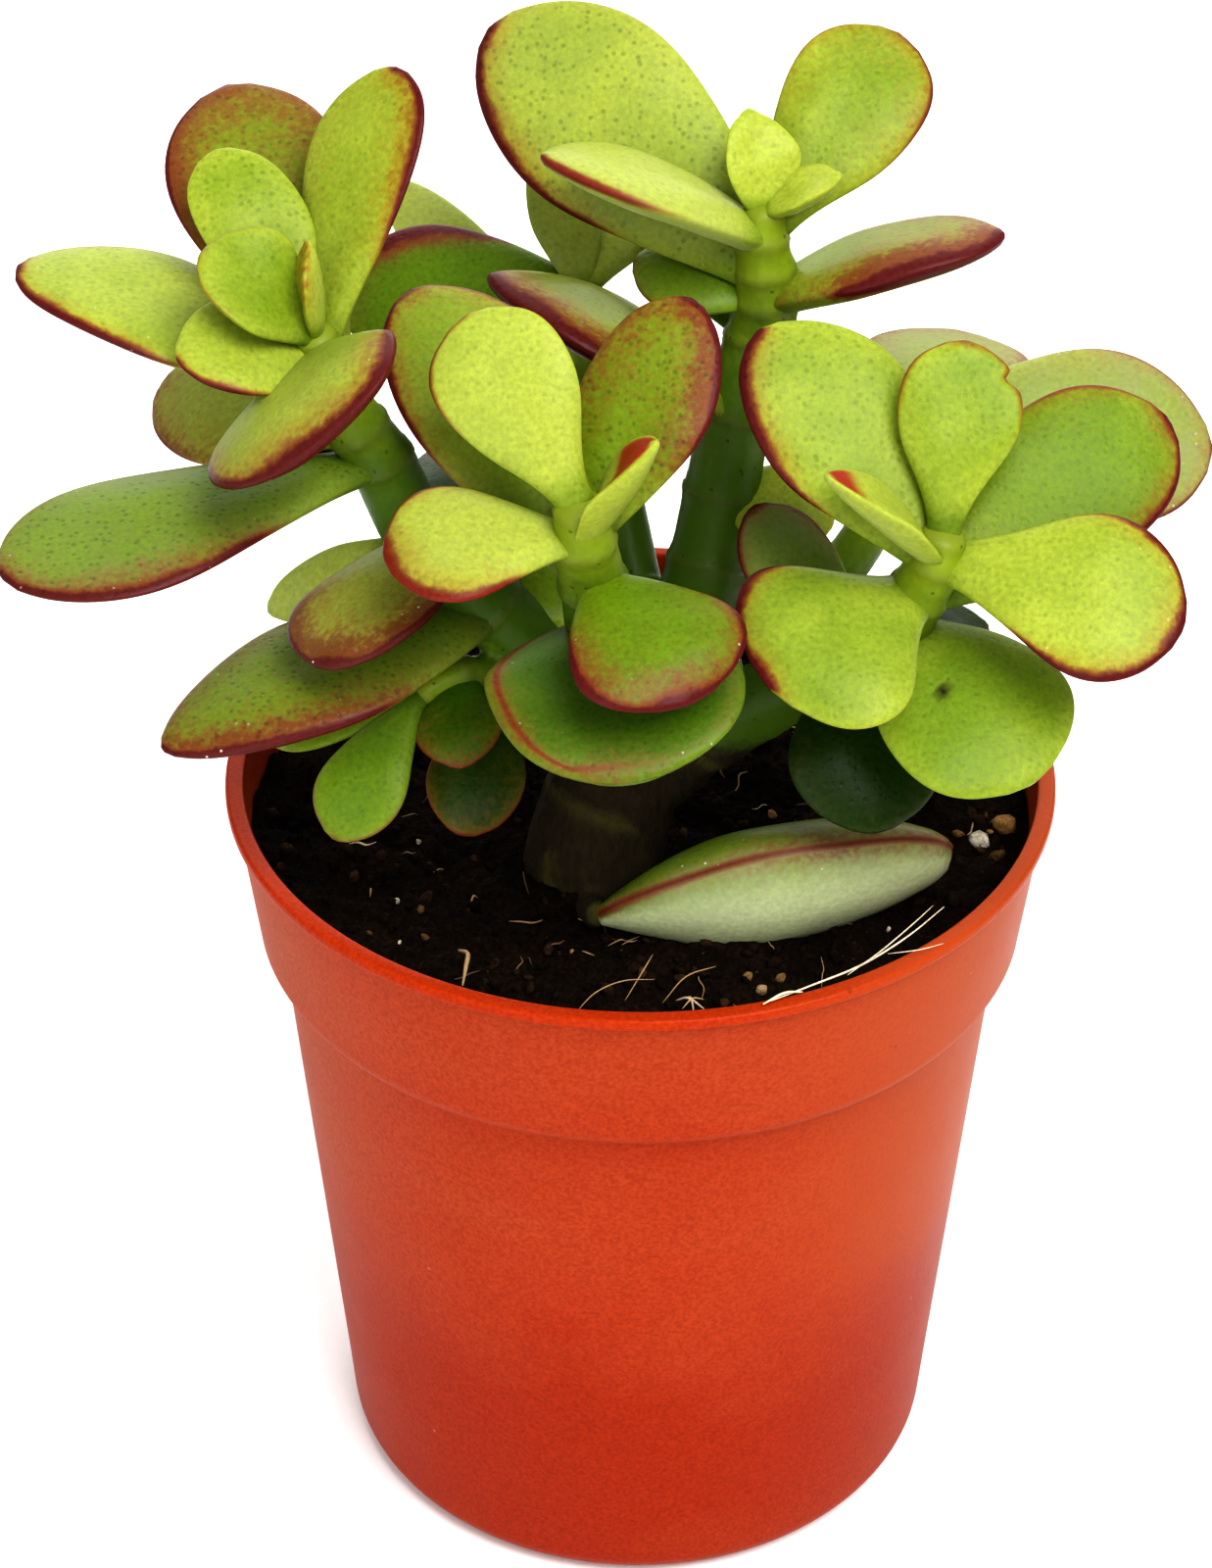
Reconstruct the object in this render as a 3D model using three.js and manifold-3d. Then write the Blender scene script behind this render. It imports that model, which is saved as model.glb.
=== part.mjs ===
// A young jade plant in a thermoformed nursery pot, in millimetres, +Z up.
// The origin is the centre of the pot's flat base. -Y is the front.
import * as THREE from 'three';
import { mergeVertices } from 'three/addons/utils/BufferGeometryUtils.js';
import Module from 'manifold-3d';

const wasm = await Module();
wasm.setup();

// ---- Driving dimensions, mm ------------------------------------------------

const GAP = 0.3; // clear space between pieces that touch

const POT = {
  height: 90,
  rimRadius: 45,
  lipWidth: 2,
  lipHeight: 1.2,
  lipRound: 0.5,
  collarTopRadius: 44.1,
  collarFootRadius: 42.2,
  collarFoot: 72.6,
  shoulderRadius: 39.8,
  shoulder: 70,
  shoulderEase: 0.9, // size of the soft corners above and below the step
  baseRadius: 34.2,
  baseRound: 3.6,
  wall: 1.1,
  floor: 1.4,
  sides: 40,
};
const DRAIN = { count: 6, radius: 4, ring: 22, sides: 10 };

const SOIL = {
  level: 84.6, // mean height of the surface
  mound: 1.4, // how much higher the middle lies than the edge
  rings: [8, 16, 24, 31, 37],
  edgeRoom: 0.1, // extra room for the lumps at the wall
};
// Low waves over the soil: radians per mm along x and y, start in radians, height in mm.
const SOIL_WAVES = [[0.41, 0.12, 1.3, 0.3], [-0.14, 0.37, 0.4, 0.3], [0.29, 0.83, 0, 0.25]];

const STEM_SIDES = 8;
const SAMPLES_PER_SPAN = 2;
const STEM_END = { shrink: 0.75, behind: 0.4, ahead: 0.8 };

// Centre lines of the stems. Each point is x, y, z and the stem's radius there.
// A leaf names its stem and the number of the point that it grows from.
const STEMS = {
  trunk: [[-7, -12, 72, 5.5], [-5.6, -11, 80, 7.6], [-4.6, -10.5, 87, 7.3],
    [-3.2, -9.5, 92, 6.9], [-1.4, -8, 96.5, 6.4]],
  foot: [[-5, -10, 82, 3], [-5.4, -17, 83.6, 2.2], [-4.2, -23.6, 87.2, 1.2]],
  top: [[-1.6, -8, 95, 5.6], [2.4, -4, 103, 5], [5.4, 0, 109, 4.6], [7, 2, 114.5, 4.3],
    [8.4, 5, 121.5, 4], [9.8, 6, 130.5, 3.8], [12, 8, 138, 3.6], [12.6, 8, 142.5, 3.4],
    [12.4, 8, 146, 3.1], [12, 8, 149.5, 2.7], [12.3, 8.3, 152.5, 2.1]],
  right: [[-0.6, -9, 94, 4.9], [6.8, -10, 101, 4.3], [14.8, -12, 108, 3.9],
    [21.4, -14, 113.5, 3.6], [25.6, -16, 118, 3.4], [27.6, -18, 123.5, 3.1],
    [29.2, -19, 128, 2.8], [29.7, -19.3, 131, 2.2]],
  front: [[-2.2, -9, 96, 4.5], [-3.2, -13, 108, 4], [-4, -17, 118, 3.6],
    [-4.8, -21, 126.5, 3.4], [-5.6, -23, 132.5, 3.1], [-6.2, -24, 137, 2.4]],
  left: [[-2.4, -8, 95, 4.7], [-8.4, -7, 106, 4.2], [-15.6, -7, 114.5, 3.9],
    [-22.4, -7, 122.5, 3.6], [-26.4, -7, 132, 3.4], [-28.6, -7.4, 136, 3.2],
    [-30.4, -8, 140, 2.9], [-31.8, -9, 144.5, 2.6], [-32.3, -9.6, 147.8, 2]],
  low: [[-7.6, -7.4, 105, 2.6], [-13.6, -10, 107.4, 2.3], [-18.6, -12, 109.2, 2],
    [-22.6, -14, 108.4, 1.6]],
  rear: [[2.2, -4, 102.5, 3.2], [-0.6, 6, 108.6, 3], [-3.2, 13, 119, 2.8],
    [-5.2, 17, 129, 2.6], [-6.4, 19, 137, 2.3]],
  back: [[4.6, -1, 107, 3], [13.4, 8, 105, 2.8], [21.6, 13, 107, 2.7],
    [26, 16, 113.5, 2.5], [28, 17, 120.5, 2.2]],
};

// Outlines of a leaf, as shares of its length and width: where it is widest, how wide its
// neck is, how slowly it widens, how round its tip is, how its thickness grows with it, and
// how much of the thickness its stalk end has. The boat is a plump fallen leaf.
const FORMS = {
  spoon: { widest: 0.68, neck: 0.27, taper: 1.9, tip: 2.1, plump: 0.15, stalk: 0.72 },
  oval: { widest: 0.6, neck: 0.3, taper: 1.25, tip: 2.05, plump: 0.16, stalk: 0.72 },
  round: { widest: 0.52, neck: 0.36, taper: 0.75, tip: 2.1, plump: 0.17, stalk: 0.72 },
  lance: { widest: 0.55, neck: 0.32, taper: 1.0, tip: 1.75, plump: 0.22, stalk: 0.72 },
  bud: { widest: 0.52, neck: 0.45, taper: 0.9, tip: 1.7, plump: 0.17, stalk: 0.72 },
  boat: { widest: 0.58, neck: 0.12, taper: 0.62, tip: 2.6, plump: 0.56, stalk: 0.16 },
};

// One row for each leaf: name, stem, point on the stem, azimuth, elevation, length, width,
// roll about its length, arch, cup, outline and age. Angles are in degrees.
const LEAVES = [
  ['left_1', 'left', 4, -152, -3, 40.5, 19, -4, 0.02, 0, 'spoon', 'old'],
  ['left_2', 'left', 7, -92, 2, 20.5, 24, 37, 0.06, 0, 'oval', 'grown'],
  ['left_3', 'left', 5, 146, -8, 26, 16, -29, 0.05, 0, 'oval', 'old'],
  ['left_4', 'left', 6, 115, 35, 36, 18, -9, 0.03, 0.05, 'spoon', 'old'],
  ['left_5', 'left', 7, 70, 49, 30, 13.5, -16, 0.03, 0.05, 'spoon', 'grown'],
  ['left_6', 'left', 6, 168, 18, 34, 16.5, -4, 0.05, 0.05, 'oval', 'young'],
  ['left_7', 'left', 7, 129, 42, 23.5, 11, -20, 0.03, 0.1, 'spoon', 'young'],
  ['left_8', 'left', 8, -179, 39, 13.5, 12, -27, 0.02, 0.3, 'oval', 'young'],
  ['left_9', 'left', 7, -151, 16, 15.5, 11, -30, 0.08, 0.1, 'oval', 'young'],
  ['left_10', 'left', 8, 100, 75, 9, 7, -85, 0.02, 0.3, 'bud', 'young'],
  ['left_11', 'left', 4, 128, -8, 16, 12, 0, 0.04, 0, 'oval', 'grown'],
  ['left_12', 'left', 3, 67, -2, 22, 15, 0, 0.05, 0, 'oval', 'old'],
  ['left_13', 'left', 2, 40, -4, 17, 15, 25, 0.04, 0, 'oval', 'old'],
  ['front_1', 'front', 2, -83, -6, 23, 26, 4, 0.05, 0.16, 'round', 'old'],
  ['front_2', 'front', 3, -61, -9, 19.5, 18, 7, 0.12, 0, 'spoon', 'grown'],
  ['front_3', 'front', 4, -167, 2, 19.5, 14.5, -18, 0.05, 0.05, 'spoon', 'young'],
  ['front_4', 'front', 5, 136, 45, 21, 14, -36, 0.03, 0.08, 'spoon', 'young'],
  ['front_5', 'front', 4, 58, 43, 26, 13.5, 13, 0.03, 0.05, 'oval', 'grown'],
  ['front_6', 'front', 3, 128, 32, 36, 17, -17, 0.05, 0.05, 'oval', 'old'],
  ['front_7', 'front', 4, -31, 59, 15.5, 9, 15, 0.02, 0.35, 'bud', 'young'],
  ['top_1', 'top', 5, 171, 27, 29, 17, 9, 0.05, 0, 'lance', 'old'],
  ['top_2', 'top', 7, 164, 9, 14, 10, -23, 0.06, 0, 'oval', 'old'],
  ['top_3', 'top', 7, -4, 19, 25, 16, -6, 0.05, 0, 'lance', 'grown'],
  ['top_4', 'top', 8, 145, 27, 38.5, 20, -43, 0.02, 0.04, 'oval', 'grown'],
  ['top_5', 'top', 9, -172, 25, 24.5, 15, 5, 0.05, 0, 'lance', 'grown'],
  ['top_6', 'top', 9, 46, 37, 25.5, 15, 30, 0.03, 0.05, 'spoon', 'young'],
  ['top_7', 'top', 4, -18, -9, 12, 12, 22, 0.05, 0, 'oval', 'old'],
  ['top_8', 'top', 10, 111, 60, 10, 8, 0, 0.02, 0.3, 'bud', 'young'],
  ['top_9', 'top', 10, -7, 30, 8.5, 6.5, 12, 0.02, 0.3, 'bud', 'young'],
  ['top_10', 'top', 5, 60, -8, 20, 14, 0, 0.04, 0, 'oval', 'old'],
  ['top_11', 'top', 6, 110, 10, 24, 14, 0, 0.04, 0, 'oval', 'grown'],
  ['right_1', 'right', 5, -139, -7, 20, 21, -22, 0.06, 0, 'spoon', 'grown'],
  ['right_2', 'right', 4, -51, -20, 22, 20, 15, 0.04, 0.04, 'oval', 'grown'],
  ['right_3', 'right', 6, -20, -5, 25, 17, 35, 0.04, 0.04, 'spoon', 'young'],
  ['right_4', 'right', 6, 142, 39, 28.5, 16.5, -28, 0.03, 0.05, 'oval', 'grown'],
  ['right_5', 'right', 7, 79, 54, 19, 12.5, 9, 0.02, 0.1, 'spoon', 'young'],
  ['right_6', 'right', 5, 28, 23, 31, 18, 42, 0.03, 0.04, 'oval', 'grown'],
  ['right_7', 'right', 3, 134, 38, 18, 10, -18, 0.03, 0.02, 'oval', 'old'],
  ['right_8', 'right', 3, -81, -42, 18.5, 16, -2, 0.04, 0, 'oval', 'old'],
  ['right_9', 'right', 6, -157, 45, 17.5, 8, -6, 0.03, 0.35, 'bud', 'young'],
  ['right_10', 'right', 4, 16, -9, 10, 9, 2, 0.04, 0, 'oval', 'old'],
  ['back_1', 'back', 4, 0, -1, 33, 20.5, 37, 0.03, 0.04, 'oval', 'old'],
  ['back_2', 'back', 4, 70, 2, 24, 20, 1, 0.03, 0.04, 'oval', 'old'],
  ['back_3', 'back', 4, -168, 65, 10, 12, 35, 0.03, 0, 'oval', 'old'],
  ['back_4', 'back', 3, 100, -10, 24, 15, 0, 0.04, 0, 'oval', 'old'],
  ['rear_1', 'rear', 4, 173, -4, 26.5, 16, -33, 0.03, 0.04, 'oval', 'old'],
  ['rear_2', 'rear', 2, 131, 28, 42.5, 9, -25, 0.03, 0.04, 'oval', 'young'],
  ['rear_3', 'rear', 4, 109, 46, 16.4, 8, 3, 0.03, 0.04, 'oval', 'young'],
  ['rear_4', 'rear', 4, 63, 23, 16, 9, 5, 0.03, 0.04, 'spoon', 'young'],
  ['low_1', 'left', 2, -150, -8, 37.5, 18, -2, 0.04, 0, 'lance', 'old'],
  ['low_2', 'left', 3, -113, -8, 21, 17, 17, 0.06, 0, 'oval', 'old'],
  ['low_3', 'left', 3, 177, -29, 18.5, 6.5, -47, 0.04, 0, 'oval', 'young'],
  ['low_4', 'low', 3, -125, -34, 17.5, 9.5, -10, 0.05, 0, 'spoon', 'grown'],
  ['low_5', 'low', 3, 170, -22, 18, 9, -19, 0.05, 0, 'oval', 'old'],
  ['low_6', 'low', 2, -88, -22, 11, 9, 12, 0.05, 0, 'oval', 'old'],
  ['low_7', 'low', 1, -113, -42, 16.8, 10, -12, 0.05, 0, 'spoon', 'old'],
  ['ground_1', 'foot', 2, 12, 4, 37.5, 19.5, -46, 0.03, 0.06, 'boat', 'old'],
];

const LEAST_THICKNESS = 1.3;
const LEAF_STATIONS = [0, 0.12, 0.26, 0.41, 0.56, 0.71, 0.85, 0.95];
const LEAF_SIDES = 8;
const UPPER_SHARE = 0.42; // of a leaf's thickness, the rest lies below its margin
const LEAF_HEEL = 0.5; // how far a leaf starts inside its stem
const BODY = { outer: 0.72, swellEnd: 0.91, tipFrom: 0.6, tipRound: 2.6 };

const FINISH = {
  pot: { color: 0xcf4a22, roughness: 0.42 },
  soil: { color: 0x1d130d, roughness: 0.95 },
  stems: { color: 0x6f6a35, roughness: 0.6 },
  young: { color: 0xb9cf2c, roughness: 0.35 },
  grown: { color: 0x86a82d, roughness: 0.35 },
  old: { color: 0x5b7d2c, roughness: 0.35 },
};

// ---- Solids ----------------------------------------------------------------

function solidOf(geometry) {
  const plain = geometry.clone();
  plain.deleteAttribute('normal');
  plain.deleteAttribute('uv');
  const merged = mergeVertices(plain, 1e-4);
  return new wasm.Manifold(new wasm.Mesh({
    numProp: 3,
    vertProperties: new Float32Array(merged.attributes.position.array),
    triVerts: new Uint32Array(merged.index.array),
  }));
}

function geometryOf(solid) {
  const { vertProperties, triVerts } = solid.getMesh();
  const geometry = new THREE.BufferGeometry();
  geometry.setAttribute('position', new THREE.BufferAttribute(vertProperties, 3));
  geometry.setIndex(new THREE.BufferAttribute(triVerts, 1));
  return geometry;
}

function largestPiece(solid) {
  return solid.decompose().sort((a, b) => b.volume() - a.volume())[0];
}

// Closes a row of rings, each with the same number of points, with a pole at both ends.
function skinOf(rings, firstPole, lastPole) {
  const sides = rings[0].length;
  const points = [...rings.flat(), firstPole, lastPole];
  const first = points.length - 2;
  const last = points.length - 1;
  const faces = [];
  for (let k = 0; k < sides; k += 1) {
    const next = (k + 1) % sides;
    faces.push(first, next, k);
    for (let r = 0; r + 1 < rings.length; r += 1) {
      const a = r * sides + k;
      const b = r * sides + next;
      faces.push(a, b, b + sides, a, b + sides, a + sides);
    }
    const end = (rings.length - 1) * sides;
    faces.push(end + k, end + next, last);
  }
  const geometry = new THREE.BufferGeometry().setFromPoints(points);
  geometry.setIndex(faces);
  return geometry;
}

function lathe(profile) {
  const points = profile.map(([r, z]) => new THREE.Vector2(r, z));
  return new THREE.LatheGeometry(points, POT.sides).rotateX(Math.PI / 2);
}

function arc(centreR, centreZ, radius, fromDegrees, toDegrees, steps) {
  return Array.from({ length: steps + 1 }, (_, i) => {
    const a = THREE.MathUtils.degToRad(fromDegrees + (toDegrees - fromDegrees) * i / steps);
    return [centreR + radius * Math.cos(a), centreZ + radius * Math.sin(a)];
  });
}

// ---- Pot -------------------------------------------------------------------

// The line of the wall from the base up to the foot of the collar.
function wallLine(inset, foot, steps) {
  const round = POT.baseRound - inset / 2;
  const below = POT.shoulderRadius - inset;
  const above = POT.collarFootRadius - inset;
  const ease = POT.shoulderEase;
  return [
    ...arc(POT.baseRadius - inset - round, foot + round, round, -90, -5, steps),
    [below, POT.shoulder],
    [below + ease, POT.shoulder + ease / 2],
    [above - ease / 2, POT.collarFoot - ease],
    [above, POT.collarFoot],
  ];
}

function makePot() {
  const lipFoot = POT.height - POT.lipHeight;
  const lipInner = POT.rimRadius - POT.lipWidth;
  const round = POT.lipRound;
  const outer = [[0, 0], ...wallLine(0, 0, 3), [POT.collarTopRadius, lipFoot]];
  const lip = [
    [POT.rimRadius, lipFoot],
    [POT.rimRadius, POT.height - round],
    [POT.rimRadius - round, POT.height],
    [lipInner + round, POT.height],
    [lipInner, POT.height - round],
  ];
  const inner = [...wallLine(POT.wall, POT.floor, 2), [lipInner, lipFoot - POT.lipHeight]];
  const cup = solidOf(lathe([...outer, ...lip, ...inner.reverse(), [0, POT.floor]]));
  return drainHoles().reduce((pot, hole) => pot.subtract(hole), cup);
}

function drainHoles() {
  return Array.from({ length: DRAIN.count }, (_, i) => {
    const turn = 2 * Math.PI * (i + 0.5) / DRAIN.count;
    const hole = new THREE.CylinderGeometry(DRAIN.radius, DRAIN.radius, 4 * POT.floor, DRAIN.sides);
    hole.rotateX(Math.PI / 2);
    hole.translate(DRAIN.ring * Math.cos(turn), DRAIN.ring * Math.sin(turn), 0);
    return solidOf(hole);
  });
}

// ---- Soil ------------------------------------------------------------------

function soilHeight(x, y) {
  const dome = SOIL.mound * (0.5 - (x * x + y * y) / POT.rimRadius ** 2);
  return SOIL_WAVES.reduce((height, [alongX, alongY, start, high]) => (
    height + high * Math.sin(alongX * x + alongY * y + start)), SOIL.level + dome);
}

// The soil is open round the stems, and the lowest leaf lies a little way into it.
function makeSoil(stemRoom) {
  const inset = POT.wall + GAP;
  const side = wallLine(inset, POT.floor + GAP, 1);
  const slope = (POT.collarTopRadius - POT.collarFootRadius)
    / (POT.height - POT.lipHeight - POT.collarFoot);
  const edge = POT.collarFootRadius + slope * (SOIL.level - POT.collarFoot)
    - inset - SOIL.edgeRoom;
  const top = [...SOIL.rings, edge].reverse().map((r) => [r, SOIL.level]);
  const geometry = lathe([[0, POT.floor + GAP], ...side, ...top, [0, SOIL.level]]);
  const places = geometry.attributes.position;
  for (let i = 0; i < places.count; i += 1) {
    if (places.getZ(i) > SOIL.level - 0.01) {
      places.setZ(i, soilHeight(places.getX(i), places.getY(i)));
    }
  }
  const lowest = LEAVES.find(([name]) => name === 'ground_1');
  return solidOf(geometry).subtract(stemRoom).subtract(makeLeaf(lowest, GAP));
}

// ---- Stems -----------------------------------------------------------------

function makeStem(points, grow) {
  const curve = new THREE.CatmullRomCurve3(
    points.map(([x, y, z]) => new THREE.Vector3(x, y, z)), false, 'centripetal');
  const steps = (points.length - 1) * SAMPLES_PER_SPAN;
  const rings = [];
  const side = new THREE.Vector3(1, 0, 0);
  for (let i = 0; i <= steps; i += 1) {
    const span = Math.min(Math.floor(i / SAMPLES_PER_SPAN), points.length - 2);
    const share = i / SAMPLES_PER_SPAN - span;
    const at = curve.getPoint(i / steps);
    const along = curve.getTangent(i / steps);
    side.addScaledVector(along, -side.dot(along)).normalize();
    const up = new THREE.Vector3().crossVectors(along, side);
    const radius = THREE.MathUtils.lerp(points[span][3], points[span + 1][3], share) + grow;
    const full = i === 0 || i === steps ? radius * STEM_END.shrink : radius;
    rings.push(ringOf(at, side, up, full, full, full, STEM_SIDES));
  }
  const start = curve.getPoint(0).addScaledVector(curve.getTangent(0), -grow - STEM_END.behind);
  const end = curve.getPoint(1).addScaledVector(curve.getTangent(1), grow + STEM_END.ahead);
  return solidOf(skinOf(rings, start, end));
}

// A closed ring of points: half its width along side, upper and lower its two depths.
function ringOf(centre, side, up, half, upper, lower, sides, cup = 0) {
  return Array.from({ length: sides }, (_, k) => {
    const turn = 2 * Math.PI * k / sides;
    const across = half * Math.cos(turn);
    const high = (Math.sin(turn) > 0 ? upper : lower) * Math.sin(turn) + cup * across * across;
    return centre.clone().addScaledVector(side, across).addScaledVector(up, high);
  });
}

function makeStems(grow = 0) {
  return Object.values(STEMS)
    .map((points) => makeStem(points, grow))
    .reduce((sum, stem) => sum.add(stem));
}

// ---- Leaves ----------------------------------------------------------------

// Half the width at a share of the length, as a share of the widest half.
function outlineAt(share, form) {
  const { widest, neck, taper, tip } = FORMS[form];
  if (share < widest) {
    const rise = Math.sin((Math.PI / 2) * (share / widest)) ** taper;
    return neck + (1 - neck) * rise;
  }
  return (1 - ((share - widest) / (1 - widest)) ** tip) ** (1 / tip);
}

// The thickness at a share of the length, as a share of the full thickness.
function thicknessAt(share, form) {
  const least = share < BODY.swellEnd / 2 ? FORMS[form].stalk : BODY.outer;
  const swell = Math.sin(Math.PI * Math.min(1, share / BODY.swellEnd));
  const toTip = Math.max(0, (share - BODY.tipFrom) / (1 - BODY.tipFrom));
  return (least + (1 - least) * swell) * (1 - toTip ** BODY.tipRound) ** (1 / BODY.tipRound);
}

function makeLeaf(row, grow = 0) {
  const [, stem, point, azimuth, elevation, length, width, roll, arch, cup, form] = row;
  const deg = THREE.MathUtils.degToRad;
  const along = new THREE.Vector3(
    Math.cos(deg(elevation)) * Math.cos(deg(azimuth)),
    Math.cos(deg(elevation)) * Math.sin(deg(azimuth)),
    Math.sin(deg(elevation)));
  const face = new THREE.Vector3(0, 0, 1)
    .addScaledVector(along, -along.z).normalize()
    .applyAxisAngle(along, deg(roll));
  const side = new THREE.Vector3().crossVectors(face, along);
  const base = new THREE.Vector3(...STEMS[stem][point].slice(0, 3));
  const thick = LEAST_THICKNESS + FORMS[form].plump * width;
  const place = (share) => base.clone()
    .addScaledVector(along, share * length)
    .addScaledVector(face, 4 * arch * length * share * (1 - share));
  const rings = LEAF_STATIONS.map((share) => {
    const slope = 4 * arch * (1 - 2 * share);
    const up = face.clone().addScaledVector(along, -slope).normalize();
    const half = outlineAt(share, form) * width / 2 + grow;
    const deep = thicknessAt(share, form) * thick;
    return ringOf(place(share), side, up, half, deep * UPPER_SHARE + grow,
      deep * (1 - UPPER_SHARE) + grow, LEAF_SIDES, 2 * cup / width);
  });
  const start = place(0).addScaledVector(along, -LEAF_HEEL - grow);
  return solidOf(skinOf(rings, start, place(1).addScaledVector(along, grow)));
}

// A leaf is trimmed where it would enter the stem or a leaf that is already there.
function makeLeaves(stemRoom) {
  const rooms = [];
  return LEAVES.map((row) => {
    const whole = makeLeaf(row).subtract(stemRoom);
    const leaf = largestPiece(rooms.reduce((rest, room) => rest.subtract(room), whole));
    rooms.push(makeLeaf(row, GAP));
    return { name: `leaf_${row[0]}`, solid: leaf, finish: FINISH[row[11]] };
  });
}

// ---- The plant -------------------------------------------------------------

function meshOf(name, solid, finish) {
  const material = new THREE.MeshStandardMaterial({ ...finish, metalness: 0 });
  const mesh = new THREE.Mesh(geometryOf(solid), material);
  mesh.name = name;
  return mesh;
}

function makePlant() {
  const stemRoom = makeStems(GAP);
  const plant = new THREE.Group();
  plant.add(meshOf('pot', makePot(), FINISH.pot));
  plant.add(meshOf('soil', makeSoil(stemRoom), FINISH.soil));
  plant.add(meshOf('stems', makeStems(), FINISH.stems));
  for (const { name, solid, finish } of makeLeaves(stemRoom)) {
    plant.add(meshOf(name, solid, finish));
  }
  return plant;
}

export default makePlant();
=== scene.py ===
"""The looks of a young jade plant in a nursery pot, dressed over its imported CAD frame.

Lengths in the tables are millimetres, as in the part's source. The origin is the centre
of the pot's flat base, +Z is up and -Y is the front.
"""

import functools
import math
from collections import namedtuple
from types import SimpleNamespace

import bpy
import numpy as np
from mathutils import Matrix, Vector, kdtree, noise


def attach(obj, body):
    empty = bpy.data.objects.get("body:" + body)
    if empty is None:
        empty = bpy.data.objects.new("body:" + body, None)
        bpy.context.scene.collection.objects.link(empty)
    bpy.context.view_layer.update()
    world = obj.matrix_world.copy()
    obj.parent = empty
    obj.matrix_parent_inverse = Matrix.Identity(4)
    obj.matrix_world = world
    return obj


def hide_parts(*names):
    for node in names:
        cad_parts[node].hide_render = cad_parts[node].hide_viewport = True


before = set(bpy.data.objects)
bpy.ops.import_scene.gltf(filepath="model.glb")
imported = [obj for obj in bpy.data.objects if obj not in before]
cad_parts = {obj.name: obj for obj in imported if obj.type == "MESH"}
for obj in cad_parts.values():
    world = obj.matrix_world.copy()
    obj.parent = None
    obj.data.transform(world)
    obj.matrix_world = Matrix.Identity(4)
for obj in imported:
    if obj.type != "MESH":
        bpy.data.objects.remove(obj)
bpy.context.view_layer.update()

bl_info = {
    "name": "Potted jade plant",
    "version": (1, 0, 0),
    "blender": (4, 5, 0),
    "location": "3D View > Sidebar > Jade plant",
    "description": "Builds the pot, soil, stems and leaves of a young jade plant",
    "category": "Object",
}

MM = 0.001
BODY = "root"

# ---- Tables shared with the part's source ----------------------------------

# Centre lines of the stems. Each point is x, y, z and the stem's radius there.
STEMS = {
    "trunk": [[-7, -12, 72, 5.5], [-5.6, -11, 80, 7.6], [-4.6, -10.5, 87, 7.3],
      [-3.2, -9.5, 92, 6.9], [-1.4, -8, 96.5, 6.4]],
    "foot": [[-5, -10, 82, 3], [-5.4, -17, 83.6, 2.2], [-4.2, -23.6, 87.2, 1.2]],
    "top": [[-1.6, -8, 95, 5.6], [2.4, -4, 103, 5], [5.4, 0, 109, 4.6], [7, 2, 114.5, 4.3],
      [8.4, 5, 121.5, 4], [9.8, 6, 130.5, 3.8], [12, 8, 138, 3.6], [12.6, 8, 142.5, 3.4],
      [12.4, 8, 146, 3.1], [12, 8, 149.5, 2.7], [12.3, 8.3, 152.5, 2.1]],
    "right": [[-0.6, -9, 94, 4.9], [6.8, -10, 101, 4.3], [14.8, -12, 108, 3.9],
      [21.4, -14, 113.5, 3.6], [25.6, -16, 118, 3.4], [27.6, -18, 123.5, 3.1],
      [29.2, -19, 128, 2.8], [29.7, -19.3, 131, 2.2]],
    "front": [[-2.2, -9, 96, 4.5], [-3.2, -13, 108, 4], [-4, -17, 118, 3.6],
      [-4.8, -21, 126.5, 3.4], [-5.6, -23, 132.5, 3.1], [-6.2, -24, 137, 2.4]],
    "left": [[-2.4, -8, 95, 4.7], [-8.4, -7, 106, 4.2], [-15.6, -7, 114.5, 3.9],
      [-22.4, -7, 122.5, 3.6], [-26.4, -7, 132, 3.4], [-28.6, -7.4, 136, 3.2],
      [-30.4, -8, 140, 2.9], [-31.8, -9, 144.5, 2.6], [-32.3, -9.6, 147.8, 2]],
    "low": [[-7.6, -7.4, 105, 2.6], [-13.6, -10, 107.4, 2.3], [-18.6, -12, 109.2, 2],
      [-22.6, -14, 108.4, 1.6]],
    "rear": [[2.2, -4, 102.5, 3.2], [-0.6, 6, 108.6, 3], [-3.2, 13, 119, 2.8],
      [-5.2, 17, 129, 2.6], [-6.4, 19, 137, 2.3]],
    "back": [[4.6, -1, 107, 3], [13.4, 8, 105, 2.8], [21.6, 13, 107, 2.7],
      [26, 16, 113.5, 2.5], [28, 17, 120.5, 2.2]],
}

# Outlines of a leaf, as shares of its length and width: where it is widest, how wide its
# neck is, how slowly it widens, how round its tip is, how its thickness grows with it, and
# how much of the thickness its stalk end has. The boat is a plump fallen leaf.
FORMS = {
    "spoon": {"widest": 0.68, "neck": 0.27, "taper": 1.9, "tip": 2.1, "plump": 0.15, "stalk": 0.72},
    "oval": {"widest": 0.6, "neck": 0.3, "taper": 1.25, "tip": 2.05, "plump": 0.16, "stalk": 0.72},
    "round": {"widest": 0.52, "neck": 0.36, "taper": 0.75, "tip": 2.1, "plump": 0.17, "stalk": 0.72},
    "lance": {"widest": 0.55, "neck": 0.32, "taper": 1.0, "tip": 1.75, "plump": 0.22, "stalk": 0.72},
    "bud": {"widest": 0.52, "neck": 0.45, "taper": 0.9, "tip": 1.7, "plump": 0.17, "stalk": 0.72},
    "boat": {"widest": 0.58, "neck": 0.12, "taper": 0.62, "tip": 2.6, "plump": 0.56, "stalk": 0.16},
}

Leaf = namedtuple(
    "Leaf",
    "name stem point azimuth elevation length width roll arch cup form age "
    "tone rim blush pale lean")

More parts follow.
